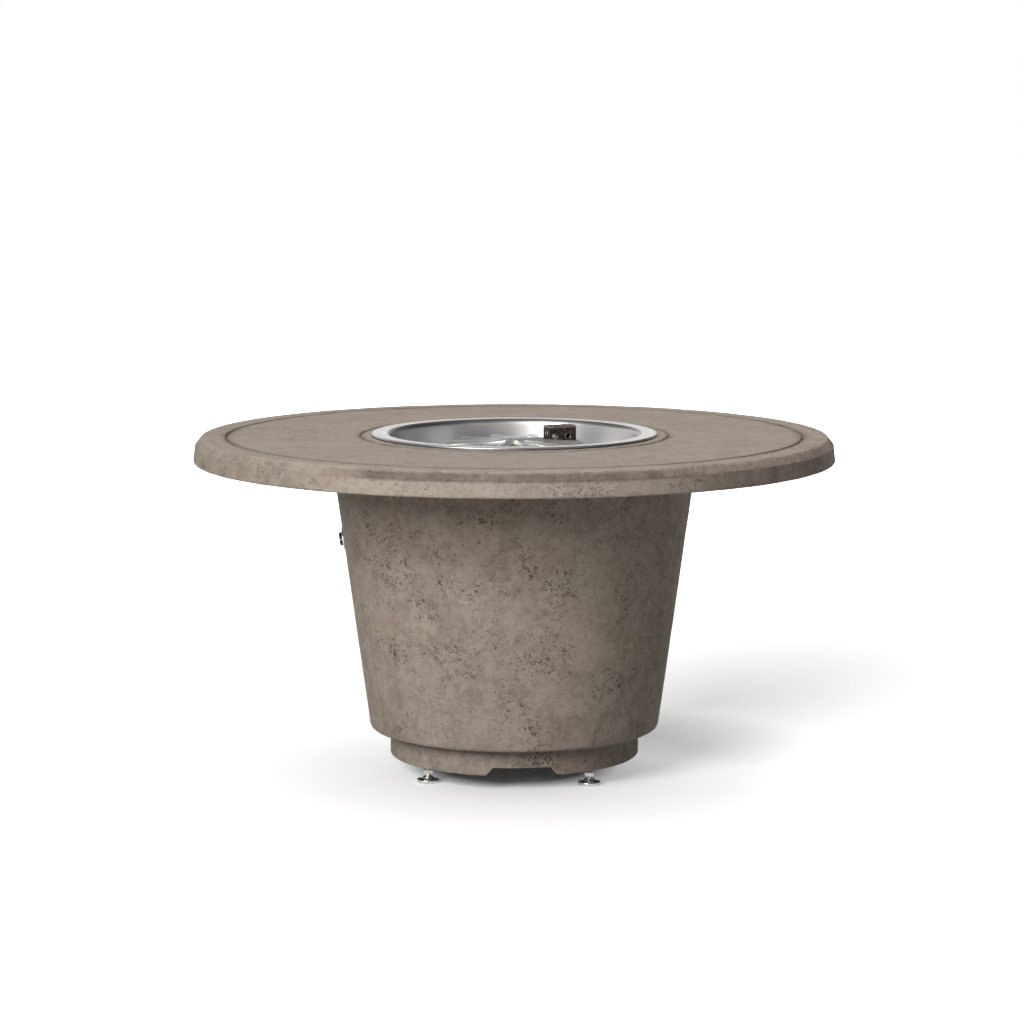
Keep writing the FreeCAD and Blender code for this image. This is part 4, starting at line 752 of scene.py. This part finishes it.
def pedestalSection():
    # the drum's closed outline and its wear; points lie closer on the outside
    wall = pedestalWall
    edge = wallRadius(wall["footHeight"])
    depth = wall["thickness"]
    inner = wall["plinth"] - depth
    under = wall["flangeUnder"]
    corners = [
        (inner, wall["low"], 0.002), (wall["plinth"], wall["low"], wall["plinthRound"]),
        (wall["plinth"], wall["footHeight"], 0.002), (edge, wall["footHeight"], wall["footRound"]),
        (wall["top"], wall["topHeight"], 0.0015), (wall["flangeInner"], wall["topHeight"], 0.001),
        (wall["flangeInner"], under, 0.001), (wallRadius(under, depth) - wall["haunch"], under, 0.001),
        (wallRadius(under - wall["haunch"], depth), under - wall["haunch"], 0.004),
        (wallRadius(wall["shelf"], depth), wall["shelf"], 0.003), (inner, wall["shelf"], 0.002),
    ]
    profile, worn = roundedProfile(corners, steps=5)
    inside = profile[:, 0] < wallRadius(profile[:, 1], depth) + 0.004
    return denser(profile, worn, np.where(inside, pedestalCasting["hiddenGap"], pedestalCasting["faceGap"]))


def makePedestal():
    cast, cuts = pedestalCasting, pedestalCuts
    profile, worn = pedestalSection()
    drum = castGrid(profile, worn, cast)
    mesh = newMesh("pedestalCast", [(drum, True, True, worn)])
    piece = addPiece(mesh, "table", "cast_concrete", ["pedestal_shell"])
    low, high = cuts["doorHeights"]
    first, last = cuts["door"]
    gap = degrees(cuts["gap"] / wallRadius(low))
    ledge = degrees(cuts["ledge"] / wallRadius(low))
    rebate = wallBand((cuts["rebate"], -0.02), (low - cuts["gap"], high + cuts["gap"]),
                      (first - gap, last + gap), cuts["bandSteps"], cuts["flare"])
    opening = wallBand((pedestalWall["thickness"] + 0.02, 0.005),
                       (low + cuts["ledge"], high - cuts["ledge"]), (first + ledge, last - ledge),
                       cuts["bandSteps"])
    cutters = [cutterFrom("rebateCutter", rebate), cutterFrom("openingCutter", opening)]
    for place, radius in cuts["holes"]:
        hole = onWall(roundBar(radius, *cuts["holeReach"]), *place)
        cutters.append(cutterFrom("holeCutter", [(hole, True, False, 0)]))
    for step in range(cuts["vents"]):
        cutters.append(ventWedge(cuts["ventAzimuth"] + 360 * step / cuts["vents"]))
    carve(piece, cutters, sharpAngles["turned"])


makePedestal()
print("pedestal")


# Pan: spun sheet with a flat flange, a rolled shoulder and a deep bowl

panSheet = {
    "flange": 0.271, "top": 0.649, "lipRound": 0.0025, "bowl": 0.236, "shoulder": 0.01, "floor": 0.552,
    "floorRound": 0.015, "sheet": 0.0015, "under": 0.644, "drains": 4, "drainAzimuth": 45,
    "drainPlace": 0.19, "drainRadius": 0.004, "leadHole": ((0.087, 0.033, 0), 0.015), "drilled": 0.01,
    "segments": 360, "lipShade": -0.9,
}


def makePan():
    pan = panSheet
    sheet = pan["sheet"]
    corners = [
        (0, pan["floor"], 0), (pan["bowl"], pan["floor"], pan["floorRound"]),
        (pan["bowl"], pan["top"], pan["shoulder"]), (pan["flange"], pan["top"], pan["lipRound"]),
        (pan["flange"], pan["under"], 0), (pan["flange"] - sheet, pan["under"], 0),
        (pan["flange"] - sheet, pan["top"] - sheet, 0.001),
        (pan["bowl"] + sheet, pan["top"] - sheet, pan["shoulder"] - sheet),
        (pan["bowl"] + sheet, pan["floor"] - sheet, pan["floorRound"] + sheet), (0, pan["floor"] - sheet, 0),
    ]
    profile, worn = denser(*roundedProfile(corners, closed=False, steps=14), 0.02, closed=False)
    # a negative value paints the shadow on the flange's turned-down lip
    onLip = (profile[:, 0] > pan["flange"] - 0.0004) & (profile[:, 1] < pan["top"] - 0.0022)
    worn = np.where(onLip, pan["lipShade"], worn)
    mesh = newMesh("spunPan", [(turnedGrid(profile, pan["segments"]), True, False, worn)])
    piece = addPiece(mesh, "table", "stainless_pan", ["burner_pan"])
    holes = []
    for step in range(pan["drains"]):
        outward = headings(pan["drainAzimuth"] + 360 * step / pan["drains"])[0]
        holes.append((outward * pan["drainPlace"], pan["drainRadius"]))
    cutters = []
    for place, radius in holes + [pan["leadHole"]]:
        bar = roundBar(radius, pan["floor"] - pan["drilled"], pan["floor"] + pan["drilled"]) + place
        cutters.append(cutterFrom("panCutter", [(bar, True, False, 0)]))
    carve(piece, cutters, sharpAngles["pan"])


makePan()
print("pan")


# Feet: spun pads, and threaded studs with their hexagons

footSteel = {
    "circle": 0.215, "padRadius": 0.0215, "rim": 0.007, "dome": 0.0115, "neck": 0.01, "socket": 0.00505,
    "socketFloor": 0.004, "studRadius": 0.005, "thread": 0.0004, "pitch": 0.0015, "studLow": 0.0045,
    "studHigh": 0.0687, "hexLow": 0.017, "hexHigh": 0.024, "hexFlats": 0.017, "rowsPerPitch": 6,
    "studSegments": 32, "segments": 96,
    "azimuths": {"front_left": 220.9, "front_right": 310.9, "back_right": 40.9, "back_left": 130.9},
}


def threadedStud():
    foot = footSteel
    height = np.arange(foot["studLow"], foot["studHigh"], foot["pitch"] / foot["rowsPerPitch"])[None]
    angle = wholeTurn(foot["studSegments"])
    # the thread's depth is a rounded zigzag of the height less a pitch for each turn
    phase = (height / foot["pitch"] - angle / (2 * pi)) * 2 * pi
    radius = foot["studRadius"] - foot["thread"] * (0.5 + 0.5 * np.cos(phase))
    grid = aroundAxis(radius, angle, height)
    return np.concatenate([grid[:, :1] * [0, 0, 1], grid, grid[:, -1:] * [0, 0, 1]], 1)


def chamferedNut(flats, low, high, segments):
    # six flats whose corners are cut by a cone at both ends
    angle = wholeTurn(segments)
    across = flats / 2
    side = across / np.cos((angle + pi / 6) % (pi / 3) - pi / 6)
    face = across * 0.97
    cut = (side - face) * 0.55
    level = 0 * side
    radius = np.concatenate([level, np.minimum(side, face), side, side, np.minimum(side, face), level], 1)
    height = np.concatenate([low + level, low + level, low + cut, high - cut, high + level, high + level], 1)
    return aroundAxis(radius, angle, height)


def makeFeet():
    foot = footSteel
    rim = foot["padRadius"]
    corners = [
        (0, 0, 0), (rim, 0, 0.0012), (rim, foot["rim"], 0.0018), (rim - 0.004, foot["rim"] + 0.0002, 0.001),
        (foot["neck"] + 0.001, foot["dome"] - 0.002, 0.003), (foot["neck"], foot["dome"], 0.0008),
        (foot["socket"], foot["dome"], 0.0005), (foot["socket"], foot["socketFloor"], 0),
        (0, foot["socketFloor"], 0),
    ]
    pad = turnedGrid(roundedProfile(corners, closed=False)[0], foot["segments"])
    stud = threadedStud()
    nut = chamferedNut(foot["hexFlats"], foot["hexLow"], foot["hexHigh"], foot["segments"])
    for place, azimuth in foot["azimuths"].items():
        shift = headings(azimuth)[0] * foot["circle"]
        mesh = newMesh(camelName(place) + "Pad", [(pad + shift, True, False, 0)])
        addPiece(mesh, "foot_" + place, "bright_steel", ["foot_pad_" + place])
        mesh = newMesh(camelName(place) + "Stud", [(grid + shift, True, False, 0) for grid in (stud, nut)])
        addPiece(mesh, "foot_" + place, "bright_steel", ["foot_stud_" + place],
                 sharpAngle=sharpAngles["threaded"])


makeFeet()
print("feet")


# Control knob and its cup, igniter button; lengths along z are measured out from the drum's face

knobShape = {
    "radius": 0.0135, "face": 0.008, "back": -0.0056, "round": 0.003, "flutes": 16,
    "fluteDepth": 0.0005, "segments": 192, "pointer": 0.0018, "pointerProud": 0.00012,
}
cupShape = {
    "inner": 0.0165, "outer": 0.018, "flange": 0.021, "low": -0.0135, "floor": -0.012, "seat": -0.0009,
    "face": 0.0016, "neck": 0.01005, "segments": 128,
}
buttonShape = {"radius": 0.007, "face": 0.0056, "back": -0.0023, "round": 0.002, "segments": 96}


def onWallMesh(name, grid, place, wrapRows, wrapColumns):
    return newMesh(name, [(onWall(grid, *place), wrapRows, wrapColumns, 0)])


def makeKnob():
    knob = knobShape
    radius = knob["radius"]
    corners = [
        (0, knob["back"], 0), (radius, knob["back"], 0.0006), (radius - 0.0005, knob["face"], knob["round"]),
        (radius * 0.62, knob["face"], 0.001), (radius * 0.55, knob["face"] - 0.0006, 0.001),
        (0, knob["face"] - 0.0006, 0),
    ]
    profile = denser(*roundedProfile(corners, closed=False), 0.0006, closed=False)[0]
    angle = wholeTurn(knob["segments"])
    side = np.clip((profile[:, 0] - radius * 0.8) / (radius * 0.2), 0, 1)
    # flutes: the side drawn in by the fourth power of a cosine of half the flute count times the angle
    drawn = knob["fluteDepth"] * side * np.cos(knob["flutes"] * angle / 2) ** 4
    grid = aroundAxis(profile[:, 0] - drawn, angle, profile[:, 1])
    mesh = onWallMesh("flutedKnob", grid, knobPlace, True, False)
    addPiece(mesh, "knob", "knob_plastic", ["control_knob"])
    # pointer line over the face and down the side, a strip just proud of the knob
    line = profile[(profile[:, 0] > radius * 0.2) & (profile[:, 1] > knob["back"] + 0.002)]
    outward = np.array([1, 0.35])
    line = line + outward / np.linalg.norm(outward) * knob["pointerProud"]
    strip = np.stack([np.stack([line[:, 0], np.full(len(line), y), line[:, 1]], -1)
                      for y in knob["pointer"] / 2 * np.array([-1, -0.5, 0, 0.5, 1])])
    mesh = onWallMesh("pointerLine", strip, knobPlace, False, False)
    addPiece(mesh, "knob", "knob_plastic", finish="pointerPaint")


def makeCup():
    cup = cupShape
    corners = [
        (cup["inner"], cup["floor"], 0.001), (cup["inner"], cup["face"], 0.001),
        (cup["flange"], cup["face"], 0.0008), (cup["flange"], cup["seat"], 0),
        (cup["outer"], cup["seat"], 0), (cup["outer"], cup["low"], 0.001),
        (cup["neck"], cup["low"], 0), (cup["neck"], cup["floor"], 0),
    ]
    grid = turnedGrid(roundedProfile(corners, steps=5)[0], cup["segments"])
    addPiece(onWallMesh("spunCup", grid, knobPlace, True, True), "table", "cup_metal", ["knob_cup"])


def makeButton():
    button = buttonShape
    radius, face = button["radius"], button["face"]
    corners = [(0, button["back"], 0), (radius, button["back"], 0.0003), (radius, face, button["round"]),
               (radius * 0.5, face, 0.001), (0, face - 0.0005, 0)]
    grid = turnedGrid(roundedProfile(corners, closed=False, steps=8)[0], button["segments"])
    mesh = onWallMesh("igniterCap", grid, igniterPlace, True, False)
    addPiece(mesh, "igniter_button", "button_plastic", ["igniter_button"])


makeKnob()
makeCup()
makeButton()
print("knob and igniter")


# Pilot shield: burnished rims round its pierced holes, two in each face and one in each end

shieldRims = {
    "middle": (0.087, 0.033, 0.625), "turn": 28, "length": 0.057, "width": 0.026,
    "faceHole": (0.0055, 0.014), "faceHoles": (-0.0165, 0.0105), "endHole": (0.004, 0.02), "rim": 0.0007,
}


def ringGrid(radius, thickness, segments=48, sides=10):
    # closed ring round the Z axis
    side = np.linspace(0, 2 * pi, sides, endpoint=False)[None]
    return aroundAxis(radius + thickness * np.cos(side), wholeTurn(segments), thickness * np.sin(side))


def makeShieldRims():
    shield = shieldRims
    along, across, up = headings(shield["turn"])
    middle = np.array(shield["middle"])
    parts = []
    for hole, shifts, level, outward, apart in (
            ("faceHole", shield["faceHoles"], along, across, shield["width"]),
            ("endHole", (0,), across, along, shield["length"])):
        radius, height = shield[hole]
        ring = ringGrid(radius, shield["rim"]) @ np.stack([level, up, outward])
        for shift in shifts:
            for side in (-1, 1):
                place = middle + level * shift + outward * side * apart / 2 + up * height
                parts.append((ring + place, True, True, 0))
    addPiece(newMesh("shieldRims", parts), "table", "scorched_steel", finish="burnishedRim")


makeShieldRims()


# Remaining nodes: smooth copies of the frame's own solids, each with its finish

softEdges = {"door_handle": 0.001, "access_door": 0.0012, "pilot_shield": 0.0002}


def dressRemaining():
    slots = {entry["node"]: entry["material_slot"] for entry in frame["record"]["subparts"]}
    for body, members in frame["record"]["behaviour"]["bodies"].items():
        for name in members:
            if not cadNodes[name].hide_render:
                smoothCopy(name, body, slots[name], softEdges.get(name, 0))


dressRemaining()


# Springs, with their ends along z as above; each keeps a mesh of its own

springShapes = {
    "igniter_spring": {"joint": "igniter_push", "on": igniterPlace, "back": -0.0169, "front": -0.0024},
    "stem_spring": {"joint": "knob_push", "on": knobPlace, "back": -0.063, "front": -0.0395},
}


def pressSprings():
    for node, spring in springShapes.items():
        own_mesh(bpy.data.objects[node + "Smooth"])


pressSprings()
print("small parts")


# Studio: pale floor, white surroundings, soft light from the front left

studio = {
    "floorTone": 0.95, "floorBounce": 0.42, "floorGlow": 2.25, "floorReach": 30, "floorLift": (0.08, 0.31),
    "contact": (0.14, 0.2), "nearMiddle": (-0.02, -0.12, 0), "nearReach": 0.54, "fade": (1.6, 3),
    "shadowMiddle": (0.42, 0.66, 0), "shadowTurn": 65, "shadowReach": (0.98, 0.5, 1),
    "surround": 0.13, "roomHeights": (0.16, 0.4), "roomBright": (0.92, 0.1),
    "dimSide": (0.94, 0.34, 0), "dimSpan": (0.4, 0.8), "dimShare": 0.22,
    "keyAzimuth": 238, "keyHeight": 2.85, "keyDistance": 5.2, "aim": (0, 0, 0.35),
}
keyTurn = radians(studio["keyAzimuth"])
# place, size and power of each lamp
studioLamps = {
    "keyLight": ((cos(keyTurn) * studio["keyDistance"], sin(keyTurn) * studio["keyDistance"],
                  studio["keyHeight"]), 2.6, 300),
    "topLight": ((0.7, 0.6, 4), 1.6, 80),
    "fillLight": ((5.5, 2.2, 0.9), 3, 14),
}


def makeFloor():
    # pale floor; the camera sees it lifted towards white, least where the shadows lie and near the feet
    tone = studio["floorTone"]
    material, tree, place = newMaterial("studioFloor", (tone, tone, tone))
    path = shade(tree, "LightPath", {}).outputs
    power = stretch(tree, path["Is Camera Ray"], 0, 1, 1, studio["floorGlow"])
    glow = shade(tree, "Emission", {"Color": (1, 1, 1, 1), "Strength": power}).outputs[0]
    seen = calculate(tree, "MAXIMUM", path["Is Camera Ray"], path["Is Glossy Ray"])
    bounced = stretch(tree, seen, 0, 1, studio["floorBounce"], tone)
    surface = tree.nodes["Principled BSDF"]
    connect(tree, surface, {"Base Color": bounced, "Roughness": 0.9, "Specular IOR Level": 0.0})
    away = vectorMath(tree, "LENGTH", {0: place})["Value"]
    oval = shade(tree, "Mapping", {"Vector": place, "Location": studio["shadowMiddle"],
                                   "Rotation": (0, 0, radians(studio["shadowTurn"])),
                                   "Scale": studio["shadowReach"]}, vector_type="TEXTURE").outputs[0]
    around = vectorMath(tree, "LENGTH", {0: oval})["Value"]
    ahead = vectorMath(tree, "DISTANCE", {0: place, 1: studio["nearMiddle"]})["Value"]
    lift = calculate(tree, "MINIMUM", stretch(tree, ahead, 0, studio["nearReach"], *studio["floorLift"]),
                     stretch(tree, around, 0, 1, *studio["floorLift"]))
    lift = multiply(tree, lift, stretch(tree, away, *studio["contact"]))
    lift = calculate(tree, "MAXIMUM", lift, stretch(tree, away, *studio["fade"]))
    mixed = shade(tree, "MixShader", {0: multiply(tree, seen, lift), 1: surface.outputs[0], 2: glow})
    tree.links.new(mixed.outputs[0], tree.nodes["Material Output"].inputs["Surface"])
    span = np.linspace(-studio["floorReach"], studio["floorReach"], 3)
    grid = np.stack([*np.meshgrid(span, span, indexing="ij"), np.zeros((3, 3))], -1)
    mesh = bpy.data.meshes.new("studioFloor")
    mesh.from_pydata(grid.reshape(-1, 3).tolist(), [], gridFaces(3, 3).tolist())
    mesh.materials.append(material)
    floor = newObject("studioFloor", mesh)


def makeSurround():
    # white behind everything the camera sees; in reflections the room is white low down and dim overhead
    world = bpy.data.worlds.new("studioSurround")
    world.use_nodes = True
    bpy.context.scene.world = world
    tree = world.node_tree
    path = shade(tree, "LightPath", {}).outputs
    direction = shade(tree, "TexCoord", {}).outputs["Generated"]
    room = stretch(tree, axes(tree, direction)["Z"], *studio["roomHeights"], *studio["roomBright"])
    side = vectorMath(tree, "DOT_PRODUCT", {0: direction, 1: studio["dimSide"]})["Value"]
    room = multiply(tree, room, stretch(tree, side, *studio["dimSpan"], 1, studio["dimShare"]))
    reflected = calculate(tree, "MAXIMUM", path["Is Glossy Ray"], path["Is Transmission Ray"])
    plain = multiply(tree, calculate(tree, "SUBTRACT", 1, reflected), studio["surround"])
    light = calculate(tree, "ADD", multiply(tree, room, reflected), plain)
    strength = calculate(tree, "MAXIMUM", light, path["Is Camera Ray"])
    connect(tree, tree.nodes["Background"], {"Color": (1, 1, 1, 1), "Strength": strength})


def addLamps():
    for name, (place, size, power) in studioLamps.items():
        lamp = bpy.data.lights.new(name, "AREA")
        lamp.shape = "SQUARE"
        lamp.size = size
        lamp.energy = power
        light = newObject(name, lamp)
        light.location = place
        aim = Vector(studio["aim"]) - Vector(place)
        light.rotation_euler = aim.to_track_quat("-Z", "Y").to_euler()
        light.visible_glossy = name == "keyLight"


makeFloor()
makeSurround()
addLamps()
bpy.context.scene.view_settings.view_transform = "Standard"
print("studio")
